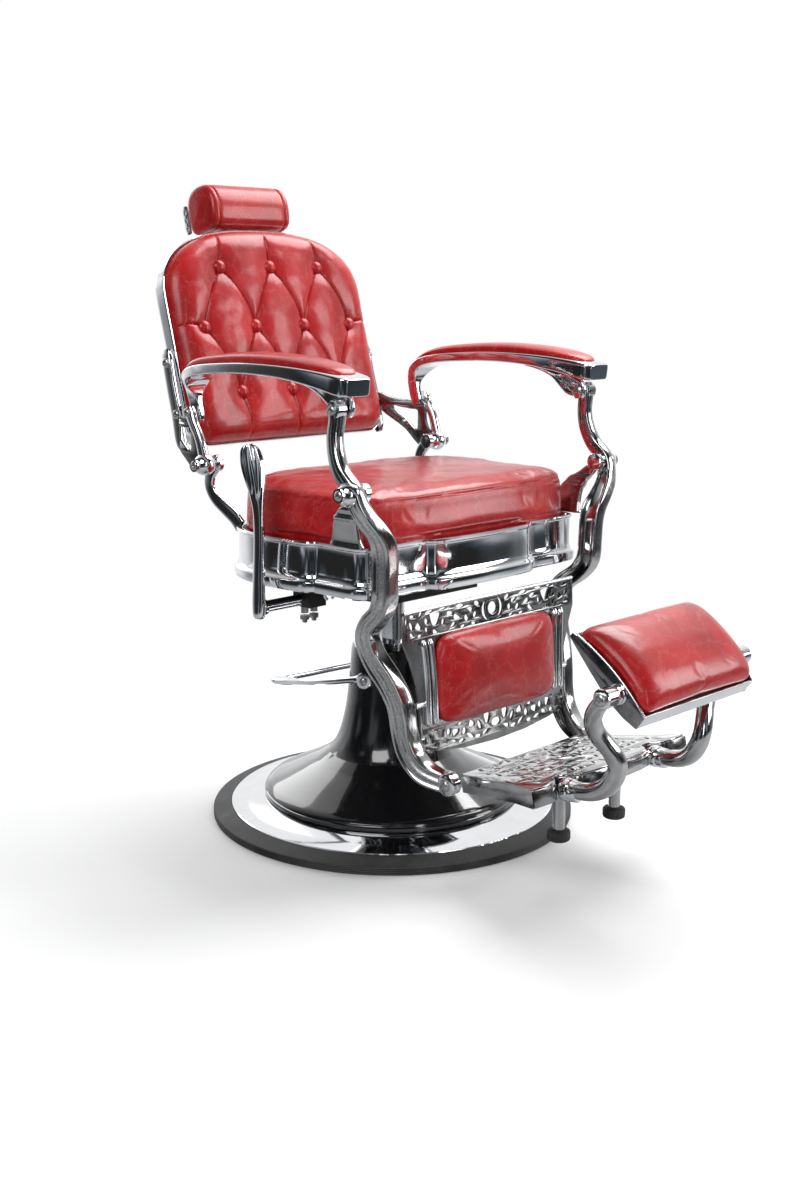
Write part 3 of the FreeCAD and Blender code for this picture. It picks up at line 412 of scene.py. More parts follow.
def bar_rings(path, section):
    """Rings of a bar; path rows are x, y, z, thickness, depth; section is one outline, or one a row."""
    centres, across, aside = frames_along(path)
    sections = np.broadcast_to(section, (len(path), *np.shape(section)[-2:]))
    return [centres[k] + aside[k] * (sections[k][:, :1] * row[3]) + across[k] * (sections[k][:, 1:] * row[4])
            for k, row in enumerate(path)]


def on_side(rings, side):
    """Rings made for the left side, or their mirror image for the right."""
    return rings if side > 0 else [ring * (-1, 1, 1) for ring in rings]


def side_bar(name, side, stations, per, section, material, body, *replaced, **options):
    """Bar of one section along stations of x, y, z, thickness and depth, on either side."""
    rings = bar_rings(smooth_path(stations, per), section)
    return loft(name, on_side(rings, side), material, body, *replaced, **options)


def round_bar(name, path, material, body, *replaced, around=20, per=6):
    """Round bar along x, y, z, radius rows, with frames carried along the path."""
    path = smooth_path(path, per)
    centres = path[:, :3]
    tangent = np.gradient(centres, axis=0)
    tangent /= np.linalg.norm(tangent, axis=1)[:, None]
    start = np.cross(tangent[0], (0.31, 0.2, 0.93))
    c, s = circle(1, around).T[:, :, None]
    rings = []
    for k, row in enumerate(path):
        start = start - tangent[k] * np.dot(start, tangent[k])
        start /= np.linalg.norm(start)
        other = np.cross(tangent[k], start)
        rings.append(centres[k] + row[3] * (c * start + s * other))
    return loft(name, rings, material, body, *replaced, sub=0, sharp=50, crisp=0.12)


def turned_on(name, start, axis, profile, material, body, *replaced, around=40, sharp=30):
    """Turned piece about any axis; profile is (distance along, radius) and closes on the axis."""
    axis = np.asarray(axis, float) / np.linalg.norm(axis)
    first = np.cross(axis, (0.2, 0.9, 0.37))
    first /= np.linalg.norm(first)
    other = np.cross(axis, first)
    c, s = circle(1, around).T[:, :, None]
    rings = [np.asarray(start, float) + axis * along + radius * (c * first + s * other)
             for along, radius in profile]
    return skin(name, rings, material, body, *replaced, sharp=sharp)


def turned_out(name, side, place, profile, material, body, *replaced, **options):
    """Turned piece on one side of the chair, pointing away from its middle; place is for the left side."""
    x, y, z = place
    return turned_on(name, (side * x, y, z), (side, 0, 0), profile, material, body, *replaced, **options)


def once(side, node):
    """The replaced node's name with the left piece only, where a node stands for both sides."""
    return (node,) if side > 0 else ()


def openwork(name, loops, thick, place, material, body, *replaced, bevel=0.6, sharp=35):
    """Sheet cut through by every loop after the first; place(points) puts flat points in the frame."""
    curve = bpy.data.curves.new(name, "CURVE")
    curve.dimensions = "2D"
    curve.fill_mode = "BOTH"
    curve.extrude = thick / 2 - bevel
    curve.bevel_depth = bevel
    curve.bevel_resolution = 1
    for loop in loops:
        spline = curve.splines.new("POLY")
        spline.points.add(len(loop) - 1)
        for point, (x, y) in zip(spline.points, loop):
            point.co = (x, y, 0, 1)
        spline.use_cyclic_u = True
    flat = bpy.data.objects.new(name + "_flat", curve)
    bpy.context.scene.collection.objects.link(flat)
    graph = bpy.context.evaluated_depsgraph_get()
    mesh = bpy.data.meshes.new_from_object(flat.evaluated_get(graph), depsgraph=graph)
    bpy.data.objects.remove(flat)
    coords = np.empty(len(mesh.vertices) * 3)
    mesh.vertices.foreach_get("co", coords)
    mesh.vertices.foreach_set("co", (place(coords.reshape(-1, 3)) * MM).ravel())
    mesh.materials.clear()
    return finish_mesh(name, mesh, material, body, replaced, sharp=sharp)


OPENING_POINTS = 16
CRESCENT_BEND = 68                      # degrees, from a crescent's middle to each tip


def opening(kind, x, y, long, wide, turn=0):
    """Outline of one cut-out, centred on (x, y) and turned by degrees."""
    c, s = circle(1, OPENING_POINTS).T
    if kind == "oval":
        flat = np.stack([c, s], 1)
    elif kind in ("bar", "wedge"):
        flat = oval(4.5, OPENING_POINTS) * 2
        if kind == "wedge":
            flat[:, 1] *= 1 + 0.42 * flat[:, 0]
    elif kind == "drop":
        flat = np.stack([c, s * (1 + c) * 0.77], 1)
    elif kind == "petal":
        flat = np.stack([c, s * np.abs(s)], 1)
    elif kind == "crescent":
        bend = np.radians(np.linspace(-CRESCENT_BEND, CRESCENT_BEND, OPENING_POINTS // 2 + 1))
        half = 0.5 * wide * np.cos(bend * 1.28)
        radius = long / (2 * math.sin(math.radians(CRESCENT_BEND)))
        outer = np.stack([(radius + half) * np.cos(bend), (radius + half) * np.sin(bend)], 1)
        inner = np.stack([(radius - half) * np.cos(bend), (radius - half) * np.sin(bend)], 1)
        flat = np.concatenate([outer, inner[-2:0:-1]]) - (radius, 0)
        flat = flat / (long / 2, wide / 2)
    a = math.radians(turn)
    turning = np.array([[math.cos(a), math.sin(a)], [-math.sin(a), math.cos(a)]])
    return flat * (long / 2, wide / 2) @ turning + (x, y)


def both_halves(cuts):
    """Openings as given and mirrored across x = 0; one centred on 0 is kept single."""
    loops = []
    for kind, x, y, long, wide, turn in cuts:
        loop = opening(kind, x, y, long, wide, turn)
        loops.append(loop)
        if abs(x) > 0.01:
            loops.append(loop * (-1, 1))
    return loops


def screw(name, start, axis, radius, body, *replaced):
    """Domed screw head with a recessed socket, standing on a face."""
    rises = (-2 / radius, 0, 0.22, 0.45, 0.58, 0.60, 0.35, 0.32)
    reaches = (1, 1, 0.98, 0.82, 0.55, 0.42, 0.38, 0.1)
    profile = [(rise * radius, reach * radius) for rise, reach in zip(rises, reaches)]
    return turned_on(name, start, axis, profile, STEEL, body, *replaced, around=28)


# ---------------------------------------------------------------- floor base and column

def floor_base():
    base_radius = box_mm("base_ring")[1][0]
    ring_radius = box_mm("chrome_ring")[1][0]
    side = [(base_radius - 1.3 * (k % 2), 2.5 + 1.7 * k) for k in range(7)]
    slope = []
    for k in range(9):
        part = k / 8
        radius = base_radius - 2.5 - part * (base_radius - ring_radius - 4)
        slope.append((radius, 15.2 + 8.8 * part - 0.7 * (k % 2)))
    spun("rubber_ring", [(ring_radius, 0.4), (base_radius - 3, 0), (base_radius - 0.6, 1)] + side
         + [(base_radius - 0.8, 14.2)] + slope + [(ring_radius + 0.4, 23)],
         RUBBER, "base", "base_ring", around=220, sharp=50)
    inner = box_mm("bell_cover")[1][0]
    spun("polished_ring", [
        (inner - 6, 21), (ring_radius - 1, 21), (ring_radius, 22), (ring_radius + 0.3, 24.2),
        (ring_radius - 1.4, 25.4), (ring_radius - 4, 25.2), (ring_radius - 30, 31.8),
        (inner + 8, 36.6), (inner + 2, 38), (inner - 6, 38.2)], CHROME, "base", "chrome_ring",
        around=260, sharp=24)


def column():
    rim = box_mm("bell_cover")[1][0]
    neck_top = box_mm("bell_cover")[1][2]
    outside = [(rim - 1.5, 39), (rim, 40.5), (rim + 0.2, 45), (rim - 0.6, 48.2), (rim - 3, 49.2),
               (rim - 3.6, 50.4), (rim - 3.2, 52.6), (rim - 6, 56), (rim - 14, 60.6),
               (209, 73), (172, 91.5), (146, 105.5), (128, 118), (114, 134), (103.5, 156), (95.5, 184),
               (89.5, 214), (85.5, 246), (82, 282), (79.6, 312), (78.6, 326), (77, 330.6), (74, neck_top)]
    inside = [(radius - 4, min(height, neck_top - 1) - 2) for radius, height in outside[::-3]]
    curved = smooth_path(outside[8:20], 5)
    outline = outside[:8] + [tuple(p) for p in curved] + outside[20:] + inside
    spun("bell", outline, GLOSS, "column", "bell_cover", around=240, sharp=32)


def pump_handle():
    """Two rods that run from clamps on the pump shaft to a rounded tip, turned a little off the rear."""
    turn = math.radians(16.3)
    reach = 108
    ahead = np.array([-math.sin(turn), math.cos(turn), 0])
    out = np.array([math.cos(turn), math.sin(turn), 0])
    up = np.array([0, 0, 1])
    centre = joint_mm("pump")[2] * up
    tip = ahead * 262 + up * 222
    for side, word in SIDES:
        outward = out * side
        end = centre + outward * reach
        turned_on("pump_clamp_" + word, centre + outward * (reach - 15), outward,
                  [(-1, 11), (0, 14.5), (1.5, 16), (9, 16.4), (17, 16), (18.5, 14.5), (19, 9)],
                  CHROME, "pump_handle")
        screw("pump_screw_" + word, end + outward * 4, outward, 8.5, "pump_handle")
        bends = ((8, 10, 1, 7.5), (8, 34, 5, 6.2), (14, 78, 15, 6.2), (44, 158, 34, 6.2), (78, 222, 50, 6.2))
        route = [(*(end - outward * inward + ahead * along - up * drop), radius)
                 for inward, along, drop, radius in bends]
        route.append((*(tip + outward * 12), 6.2))
        round_bar("pump_rod_" + word, route, CHROME, "pump_handle")
        socket = [(*(end - outward * 8 + ahead * along - up * drop), radius)
                  for along, drop, radius in ((4, 0, 9.5), (13, 2, 9.5), (22, 4, 9))]
        round_bar("pump_socket_" + word, socket, CHROME, "pump_handle")
    section = oval(3.2, 24)
    sizes = ((-34, 26, 11), (-26, 34, 13), (-8, 40, 13), (6, 36, 12), (14, 22, 10))
    rings = [tip + ahead * along + out * section[:, :1] * wide + up * section[:, 1:] * tall
             for along, wide, tall in sizes]
    loft("pump_tip", rings, CHROME, "pump_handle", "pump_handle", sub=2)


# ---------------------------------------------------------------- seat

PAN_HALF, PAN_FRONT, PAN_REAR = 282, -216, 190
PAN_BOW = 26                            # how far the pan's front and sides bow out
KNUCKLE_X = 334                         # the ball ends of the front pivots
ARM_RIVET = (-202, 808)                 # where each armrest's lug meets the top of its casting: y, z


def both_sides(half, count):
    """Closed curve through half an outline, from the middle of the front to the middle of the rear."""
    return closed_curve(half + [(-x, y) for x, y in half[-2:0:-1]], count)


def pan_outline(count):
    side, front = PAN_HALF, PAN_FRONT
    return both_sides([
        (0, front - PAN_BOW), (42, front - PAN_BOW + 0.8), (82, front - PAN_BOW + 3), (112, front - 20),
        (123, front - 17), (130, front - 11), (137, front - 5.5), (152, front - 3.4), (200, front - 3),
        (side - 26, front - 1), (side - 12, front + 4), (side - 3, front + 16), (side, front + 34),
        (side + 1, front + 70), (side + 2, -118), (side + 4, -104), (side + 12, -96), (side + 17, -84),
        (side + 22, -46), (side + PAN_BOW - 1, 10), (side + 18, 64), (side - 8, 122), (side - 62, 168),
        (side - 130, PAN_REAR - 4), (0, PAN_REAR)], count)


def swept_outline(outline, profile):
    """Rings of a moulding that follows a flat outline; profile is (outward, height)."""
    points, normals = outline
    return [layer(points + normals * out, height) for out, height in profile]


def seat_pan():
    profile = [(-9, 567), (-8.4, 572), (-6, 575.6), (-2, 577), (1.6, 576.2), (3.2, 573.8), (2.6, 571),
               (0.6, 569), (0, 566), (0, 545), (0, 524), (0.7, 518.5), (2.6, 514), (5.6, 510.4),
               (8.4, 508.4), (9.8, 506.2), (10, 503), (9.6, 495), (8.4, 490.6), (6, 488.4), (3.6, 489),
               (2.6, 492), (2.4, 500), (-5, 503), (-6, 512), (-6, 558), (-9, 562)]
    rings = swept_outline(pan_outline(520), profile + profile[:1])
    mesh_piece("bowed_pan", np.concatenate(rings), grid_faces(len(rings), len(rings[0])),
               CHROME, "seat", sharp=28)
    points, normals = pan_outline(260)
    rings = [layer((points + normals * -7) * part, height)
             for part, height in ((1, 560.5), (1, 565.7), (0.5, 565.8), (0.02, 565.8))]
    skin("pan_floor", rings, SATIN, "seat", "seat_pan")


def flat_mesh(name, rings, wind=1):
    """Closed mesh in metres over rings in millimetres, ready to be swelled."""
    mesh = bpy.data.meshes.new(name)
    faces = closed_faces(len(rings), len(rings[0]), wind)
    mesh.from_pydata([tuple(p) for p in np.concatenate(rings) * MM], [], faces)
    return mesh


CLOTH_STIFFNESS = 18
CLOTH_FRAMES = 20


def puff(mesh, voxel, pressure, cap, held):
    """Remeshes a pad and swells it by cap at most with Blender's cloth; held(points) is 1 where it stays."""
    pad = bpy.data.objects.new("pad_work", mesh)
    bpy.context.scene.collection.objects.link(pad)
    remesh = pad.modifiers.new("remesh", "REMESH")
    remesh.mode = "VOXEL"
    remesh.voxel_size = voxel * MM
    apply_modifiers(pad)
    count = len(pad.data.vertices)
    start = np.empty(count * 3)
    pad.data.vertices.foreach_get("co", start)
    start = start.reshape(-1, 3)
    pins = pad.vertex_groups.new(name="held")
    for index, weight in enumerate(held(start / MM)):
        if weight > 0:
            pins.add([index], float(weight), "REPLACE")
    cloth = pad.modifiers.new("cloth", "CLOTH")
    settings = cloth.settings
    settings.quality = 4
    settings.use_pressure = True
    settings.uniform_pressure_force = pressure
    settings.effector_weights.gravity = 0
    settings.tension_stiffness = settings.compression_stiffness = CLOTH_STIFFNESS
    settings.shear_stiffness = CLOTH_STIFFNESS / 3
    settings.vertex_group_mass = "held"
    cloth.collision_settings.use_collision = False
    scene = bpy.context.scene
    for step in range(1, CLOTH_FRAMES + 1):
        scene.frame_set(step)
    moved = np.empty(count * 3)
    graph = bpy.context.evaluated_depsgraph_get()
    pad.evaluated_get(graph).data.vertices.foreach_get("co", moved)
    shift = moved.reshape(-1, 3) - start
    length = np.linalg.norm(shift, axis=1)[:, None]
    limit = cap * MM
    shift *= np.where(length > 1e-9, np.tanh(length / limit) * limit / np.maximum(length, 1e-9), 0)
    pad.modifiers.clear()
    pad.data.vertices.foreach_set("co", (start + shift).ravel())
    scene.frame_set(1)
    divide = pad.modifiers.new("divide", "SUBSURF")
    divide.levels = 1
    apply_modifiers(pad)
    result = pad.data
    bpy.data.objects.remove(pad)
    return result


def move_points(mesh, rule):
    """Moves a mesh's points by a rule on their places in millimetres."""
    coords = np.empty(len(mesh.vertices) * 3)
    mesh.vertices.foreach_get("co", coords)
    places = rule(coords.reshape(-1, 3) / MM)
    mesh.vertices.foreach_set("co", (places * MM).ravel())


def soft_noise(points, scale, amount):
    return np.array([noise.fractal(Vector(p) * scale, 0.9, 2.0, 3) for p in points]) * amount


def cushion_outline(count):
    side, front = PAN_HALF, PAN_FRONT
    return both_sides([
        (0, front - 14), (90, front - 13), (170, front - 9), (226, front - 4), (side - 30, front + 1),
        (side - 12, front + 10), (side - 3, front + 26), (side, front + 52), (side + 2, front + 90),
        (side + 7, -80), (side + 14, -30), (side + 18, 14), (side + 12, 64), (side - 10, 120),
        (side - 62, 165), (side - 130, PAN_REAR - 5), (0, PAN_REAR)], count)


def seat_cushion():
    top = box_mm("seat_cushion")[1][2]
    points, normals = cushion_outline(300)
    profile = [(-3, 567), (0, 569), (1.5, 580), (3, 610), (2, 636), (-1, top - 9), (-5, top - 4),
               (-14, top - 0.5), (-34, top + 1.5)]
    start = points - normals * 14
    rings = swept_outline((start, normals), profile)
    edge = start + normals * profile[-1][0]
    rings += [layer(edge * part, top + 1.5 + 2.5 * (1 - part ** 2.2))
              for part in (0.86, 0.7, 0.52, 0.34, 0.16)]
    mesh = puff(flat_mesh("seat_leather", rings), 6, 3.0, 5, lambda p: np.clip((585 - p[:, 2]) / 12, 0, 1))

    def sew(p):
        near = np.exp(-((p[:, 2] - top + 15) / 1.6) ** 2) + np.exp(-((p[:, 2] - 583) / 1.6) ** 2)
        flat = np.linalg.norm(p[:, :2], axis=1)[:, None]
        edge = np.clip((flat[:, 0] - 160) / 40, 0, 1)
        p[:, :2] -= p[:, :2] / flat * (near * edge * 2.2)[:, None]
        p[:, 2] += soft_noise(p, 0.011, 1.6) * np.clip((p[:, 2] - 640) / 15, 0, 1)
        return p

    move_points(mesh, sew)
    piece = finish_mesh("seat_leather", mesh, LEATHER, "seat", ("seat_cushion",), sharp=60)


def seat_brackets():
    steps = [(287, 577, -145, -224, 14), (287, 583, -146, -223, 14), (288, 586, -151, -220, 10),
             (292, 602, -157, -218, 10), (296, 619, -163, -219, 10), (297, 624, -165, -220, 10),
             (299, 626, -167, -222, 14), (300, 632, -170, -224, 14), (300, 634, -174, -225, 10),
             (301, 640, -179, -228, 10), (302, 642, -181, -231, 14), (302, 648, -188, -235, 14),
             (303, 650, -196, -238, 10), (304, 657, -208, -243, 11), (305, 668, -222, -250, 12)]
    block = oval(5, 28)
    rings = [layer(block * (thick, rear - front) + (x, (rear + front) / 2), height)
             for x, height, rear, front, thick in steps]
    strap = [(268, 122, 575, 9, 30), (269, 136, 588, 9, 28), (271, 162, 604, 9, 26), (274, 188, 622, 9, 25),
             (276, 200, 642, 9, 25), (277, 196, 662, 10, 26), (277, 182, 680, 10, 26)]
    front_y, front_z = joint_mm("leg_swing")[1:]
    y, z = joint_mm("recline")[1:]
    for side, word in SIDES:
        loft("seat_bracket_" + word, on_side(rings, side), ALLOY, "seat", "front_bracket_" + word, sharp=35)
        turned_out("bracket_eye_" + word, side, (298, front_y, front_z),
                   [(0, 10), (0.8, 15), (2, 16), (12, 16), (13, 15), (13.4, 8)], CHROME, "seat")
        screw("front_pin_head_" + word, (side * (KNUCKLE_X + 22), front_y, front_z), (side, 0, 0), 9.5,
              "seat")
        side_bar("rear_strap_" + word, side, strap, 5, oval(3.6, 24), CHROME, "seat", "rear_bracket_" + word)
        turned_out("strap_eye_" + word, side, (269.5, y, z),
                   [(0, 9), (0.8, 14.5), (2, 15.5), (10, 15.5), (11.5, 14), (12, 8)], CHROME, "seat")
        screw("rear_pin_head_" + word, (side * 325.5, y, z), (side, 0, 0), 9.5, "seat")


# ---------------------------------------------------------------- recline lever

def recline_lever():
    """Tall hand lever whose upper end twists outward into a fluted leaf."""
    x = np.mean([corner[0] for corner in box_mm("recline_lever")])
    y, z = joint_mm("lever_pull")[1:]
    stations = [
        (-4, -18, 12, 17, 0), (-4, -13, 16, 24, 0), (-4, 4, 17, 28, 0), (-5, 40, 16, 26, 0),
        (-8, 90, 15, 24, 2), (-9, 140, 13, 22, 6), (-8, 175, 12, 23, 14), (-5, 202, 12, 29, 24),
        (0, 228, 12, 38, 32), (5, 250, 11, 42, 36), (10, 268, 9, 38, 38), (13, 280, 7, 29, 42),
        (14, 286, 5, 13, 38)]
    path = smooth_path([(x, y + ahead, z + up, *rest) for ahead, up, *rest in stations], 6)
    centres, across, aside = frames_along(path)
    rings = []
    for k, row in enumerate(path):
        turn = math.radians(row[5])
        wide = aside[k] * math.cos(turn) + across[k] * math.sin(turn)
        deep = across[k] * math.cos(turn) - aside[k] * math.sin(turn)
        section = oval(2.5, 48)
        open_leaf = float(np.clip((row[2] - z - 196) / 20, 0, 1))
        flute = 0.42 * open_leaf * np.abs(np.sin(section[:, 1] * math.tau * 1.5)) * (section[:, 0] < 0)
        section[:, 0] *= 1 - flute
        rings.append(centres[k] + wide * (section[:, :1] * row[3]) + deep * (section[:, 1:] * row[4]))
    loft("hand_lever", rings, CHROME, "recline_lever", "recline_lever")
    turned_on("lever_hub", (x + 7, y, z), (1, 0, 0), [
        (0, 12), (0.5, 14.5), (3, 15), (9, 14.5), (10, 12), (12, 10.5), (100, 10.5), (101, 8)],
        CHROME, "recline_lever")
    for k, at in enumerate((-228, -206)):
        turned_on("bearing_nut_%d" % k, (at, y, z - 30), (0, 0, -1),
                  [(0, 8), (0, 9.5), (6, 9.5), (7, 8.5), (7, 5.2), (12, 5.2), (13, 4)], STEEL, "seat",
                  around=6, sharp=20)
    ring = [(-262 + 11 * math.cos(a), -112, 484 + 11 * math.sin(a), 2.6)
            for a in (math.radians(20 * k - 60) for k in range(16))]
    round_bar("pan_loop", ring, CHROME, "seat", around=12, per=2)


# ---------------------------------------------------------------- leg rest castings and arms

def channel_section(flute):
    """Unit section of the side casting: a smooth oval that becomes a fluted channel as flute goes to 1."""
    outer = [(0.5, -0.40), (0.5, -0.33), (0.34, -0.27), (0.34, -0.13), (0.5, -0.07), (0.5, 0.07),
             (0.34, 0.13), (0.34, 0.27), (0.5, 0.33), (0.5, 0.40), (0.46, 0.47), (0.36, 0.5)]
    inner = [(0.0, 0.5), (-0.36, 0.5), (-0.47, 0.48), (-0.5, 0.42), (-0.44, 0.34), (-0.30, 0.28),
             (-0.26, 0.10), (-0.26, -0.10), (-0.30, -0.28), (-0.44, -0.34), (-0.5, -0.42),
             (-0.47, -0.48), (-0.36, -0.5), (0.0, -0.5), (0.36, -0.5), (0.46, -0.47)]
    channel = np.array(outer + inner)
    angle = np.arctan2(channel[:, 1], channel[:, 0])
    power = 2.6
    c, s = np.cos(angle), np.sin(angle)
    reach = (np.abs(c) ** power + np.abs(s) ** power) ** (-1 / power)
    smooth = np.stack([c, s], 1) * reach[:, None] / 2
    return smooth * (1 - flute) + channel * flute


def front_castings():
    y, z = joint_mm("leg_swing")[1:]
    arm_y, arm_z = ARM_RIVET
    stations = [
        (322, arm_y + 1, arm_z + 16, 20, 20), (322, arm_y, arm_z + 4, 27, 28),
        (322, arm_y + 1, arm_z - 16, 26, 27), (324, arm_y + 4, 766, 25, 27),
        (326, arm_y - 1, 738, 26, 29), (329, arm_y - 16, 708, 26, 31),
        (329, y - 4, 682, 26, 31), (325, y - 12, 658, 26, 32), (314, y - 18, 636, 26, 34),
        (295, y - 21, 614, 27, 36), (279, y - 20, 592, 28, 40), (273, y - 19, 566, 28, 40),
        (272, y - 18, 528, 28, 40), (271, y - 15, 494, 28, 40), (266, y + 2, 468, 27, 35),
        (259, y + 30, 446, 27, 35), (254, y + 44, 420, 28, 40), (243, y + 38, 382, 29, 42),
        (227, y + 17, 340, 30, 43), (216, y + 2, 298, 30, 43), (212, y - 4, 252, 30, 43),
        (209, y - 14, 218, 30, 43), (203, y - 38, 190, 29, 42), (192, y - 70, 178, 26, 36),
        (183, y - 92, 176, 25, 34)]
    path = smooth_path(stations, 4)
    heights = path[:, 2]
    sections = [channel_section(float(np.clip((700 - height) / 80, 0, 1))) for height in heights]
    rings = bar_rings(path, np.array(sections))

    def in_flute(face):
        ring, place = divmod(face, len(rings[0]))
        return 2 <= place <= 7 and 3 <= ring < len(heights) and heights[ring - 2] < 640

    for side, word in SIDES:
        loft("side_casting_" + word, on_side(rings, side), ALLOY, "leg_rest", "front_casting_" + word,
             sharp=45, second=(CAST, in_flute))
        turned_out("ball_knuckle_" + word, side, (KNUCKLE_X, y, z),
                   [(-21, 6), (-19.5, 11), (-15, 16.5), (-8, 20.2), (0, 21.4), (8, 20.2), (15, 16.5),
                    (19.5, 11), (21, 6)], CHROME, "leg_rest", around=48, sharp=60)
        turned_out("post_eye_" + word, side, (313.5, arm_y, arm_z),
                   [(0, 9), (0.6, 14), (2, 15.5), (18, 15.5), (20, 14), (20.6, 8)], CHROME, "leg_rest")
        screw("post_screw_" + word, (side * KNUCKLE_X, arm_y, arm_z), (side, 0, 0), 8.5, "leg_rest",
              "front_rivet_" + word)
        turned_on("tread_boss_" + word, (side * 203, y - 93, 177), (-side, 0, 0),
                  [(-1.5, 8), (-1, 17), (0.5, 19.4), (6, 19.8), (7, 18.4), (9, 18.4), (10, 19.8),
                   (17, 19.8), (18, 18), (18.4, 1)], CHROME, "leg_rest", around=48)
        screw("tread_screw_" + word, (side * 204.2, y - 93, 177), (side, 0, 0), 11, "leg_rest")


def foot_arms():
    y, z = joint_mm("foot_pad_tilt")[1:]
    stations = [
        (122, -541, 203, 31, 27), (121, -560, 204, 34, 28), (119, -585, 209, 36, 30),
        (117, -607, 222, 36, 31), (116, -621, 243, 35, 30), (118, -627, 264, 33, 28),
        (127, -624, 284, 32, 27), (140, -617, 303, 31, 26), (155, -612, 322, 30, 26),
        (168, -614, 342, 29, 26), (178, -624, 362, 28, 26), (184, -638, 379, 27, 25),
        (186, y - 1, z, 25, 23)]
    hub = [(0, 12), (0.5, 17.5), (3, 19), (9, 19.5), (15, 18.5), (17, 16.5), (19, 16.5), (21, 18),
           (30, 17.5), (33, 15), (34, 10)]
    for side, word in SIDES:
        side_bar("footrest_arm_" + word, side, stations, 5, oval(2.5, 28), ALLOY, "leg_rest",
                 "foot_arm_" + word)
        turned_out("arm_eye_" + word, side, (172, y, z),
                   [(0, 10), (0.6, 15), (2, 16.5), (23, 16.5), (25, 15), (25.6, 8)], CHROME, "leg_rest")
        turned_on("arm_hub_" + word, (side * 122, -524, 200), (0, -1, 0.02), hub, CHROME, "leg_rest",
                  around=44)


# ---------------------------------------------------------------- armrests

def armrests():
    rear_y, rear_z = joint_mm("armrest_left_pivot")[1:]
    arm_y, arm_z = ARM_RIVET
    # Rows are x, then rearward of and above the rear pivot, then thickness and depth.
    tray = [
        (285, 1, -17, 10, 20), (285, 4, -2, 12, 25), (285, 9, 16, 13, 25), (286, 10, 33, 22, 24),
        (289, 3, 52, 44, 21), (296, -16, 68, 64, 19), (303, -56, 79, 76, 19), (308, 80 - rear_y, 86, 80, 20),
        (310, -rear_y, 89, 81, 21), (311, -80 - rear_y, 87, 80, 23), (311, -140 - rear_y, 82, 78, 27),
        (311, -190 - rear_y, 75, 73, 31), (311, -216 - rear_y, 70, 69, 33), (311, -232 - rear_y, 67, 62, 32),
        (311, -240 - rear_y, 66, 50, 28)]
    gusset = [
        (304, -78, rear_z + 76, 42, 6), (304, -112, rear_z + 71, 34, 12), (303, -140, rear_z + 64, 24, 22),
        (301, -162, rear_z + 54, 15, 36), (300, -182, rear_z + 42, 12, 42),
        (300, arm_y + 4, arm_z + 6, 11, 38), (300, arm_y, arm_z - 4, 11, 31),
        (300, arm_y - 1, arm_z - 14, 9, 18)]
    pad = [
        (292, 6, 62, 34, 8), (294, -6, 72, 46, 14), (298, -28, 83, 60, 19), (303, -60, 92, 69, 22),
        (308, 90 - rear_y, 99, 73, 24), (310, 10 - rear_y, 103, 74, 25), (311, -70 - rear_y, 102, 73, 25),
        (311, -140 - rear_y, 97, 69, 24), (311, -186 - rear_y, 91, 61, 21), (311, -206 - rear_y, 87, 50, 17),
        (311, -215 - rear_y, 84, 34, 10)]
    tray, pad = ([(x, rear_y + along, rear_z + up, *size) for x, along, up, *size in rows]
                 for rows in (tray, pad))
    pillow = oval(2.7, 40)
    pillow[:, 0] *= 1 - 0.10 * np.clip(-pillow[:, 1], 0, 1)
    for side, word in SIDES:
        body = "armrest_" + word
        side_bar("arm_tray_" + word, side, tray, 5, oval(8, 40), CHROME, body, "armrest_tray_" + word,
                 sharp=38)
        side_bar("arm_gusset_" + word, side, gusset, 5, oval(4, 24), CHROME, body)
        turned_on("arm_lug_screw_" + word, (side * 294.6, arm_y, arm_z), (-side, 0, 0),
                  [(-1, 6), (0, 9), (2, 9), (3.4, 7), (4, 3)], STEEL, body)
        piece = side_bar("arm_leather_" + word, side, pad, 6, pillow, LEATHER, body, "armrest_pad_" + word,
                         sharp=60)


# ---------------------------------------------------------------- back and headrest

UP = np.array(next(joint["axis"] for joint in frame["joints"] if joint["name"] == "headrest_height"))
REAR = np.array([0, UP[2], -UP[1]])
TILT_ACROSS, TILT_ALONG = 58, 352       # the headrest's hinge, on the sloping back
BACK_START = joint_mm("headrest_tilt") - REAR * TILT_ACROSS - UP * TILT_ALONG
BACK_HALF, BACK_FOOT, SHOULDER, CROWN = 248, -57, 232, 363
BUTTON_ROWS = ((38, (-125, 0, 125)), (166, (-187, -62, 62, 187)), (283, (-125, 0, 125)))


def on_back(points):
    """From (sideways, across to the rear, along the slope) to the chair's frame."""
    points = np.asarray(points, float)
    return (BACK_START + points[:, :1] * np.array([1, 0, 0]) + points[:, 1:2] * REAR + points[:, 2:3] * UP)


def back_outline(inset, count):
    half, foot, crown = BACK_HALF - inset, BACK_FOOT + inset, CROWN - inset
    rise = crown - SHOULDER
    arch = [(half * math.cos(t) ** 0.72, SHOULDER + rise * math.sin(t) ** 0.9)
            for t in (math.radians(7.5 * k) for k in range(13))]
    arch[-1] = (0, crown)
    corner = 36
    low = [(half - corner + corner * math.cos(t), foot + corner - corner * math.sin(t))
           for t in (math.radians(15 * k) for k in range(7))]
    sides = [(half, SHOULDER - 60 * k) for k in range(1, 4)]
    right = arch[::-1] + sides + low + [(half - corner - 60 * k, foot) for k in range(1, 4)]
    loop = right + [(0, foot)] + [(-x, z) for x, z in right[:0:-1]]
    return closed_curve(loop, count)


def across_back(flat, depth):
    """Flat (sideways, along) points as rows of (sideways, across, along) at one depth."""
    return layer(flat, depth)[:, [0, 2, 1]]


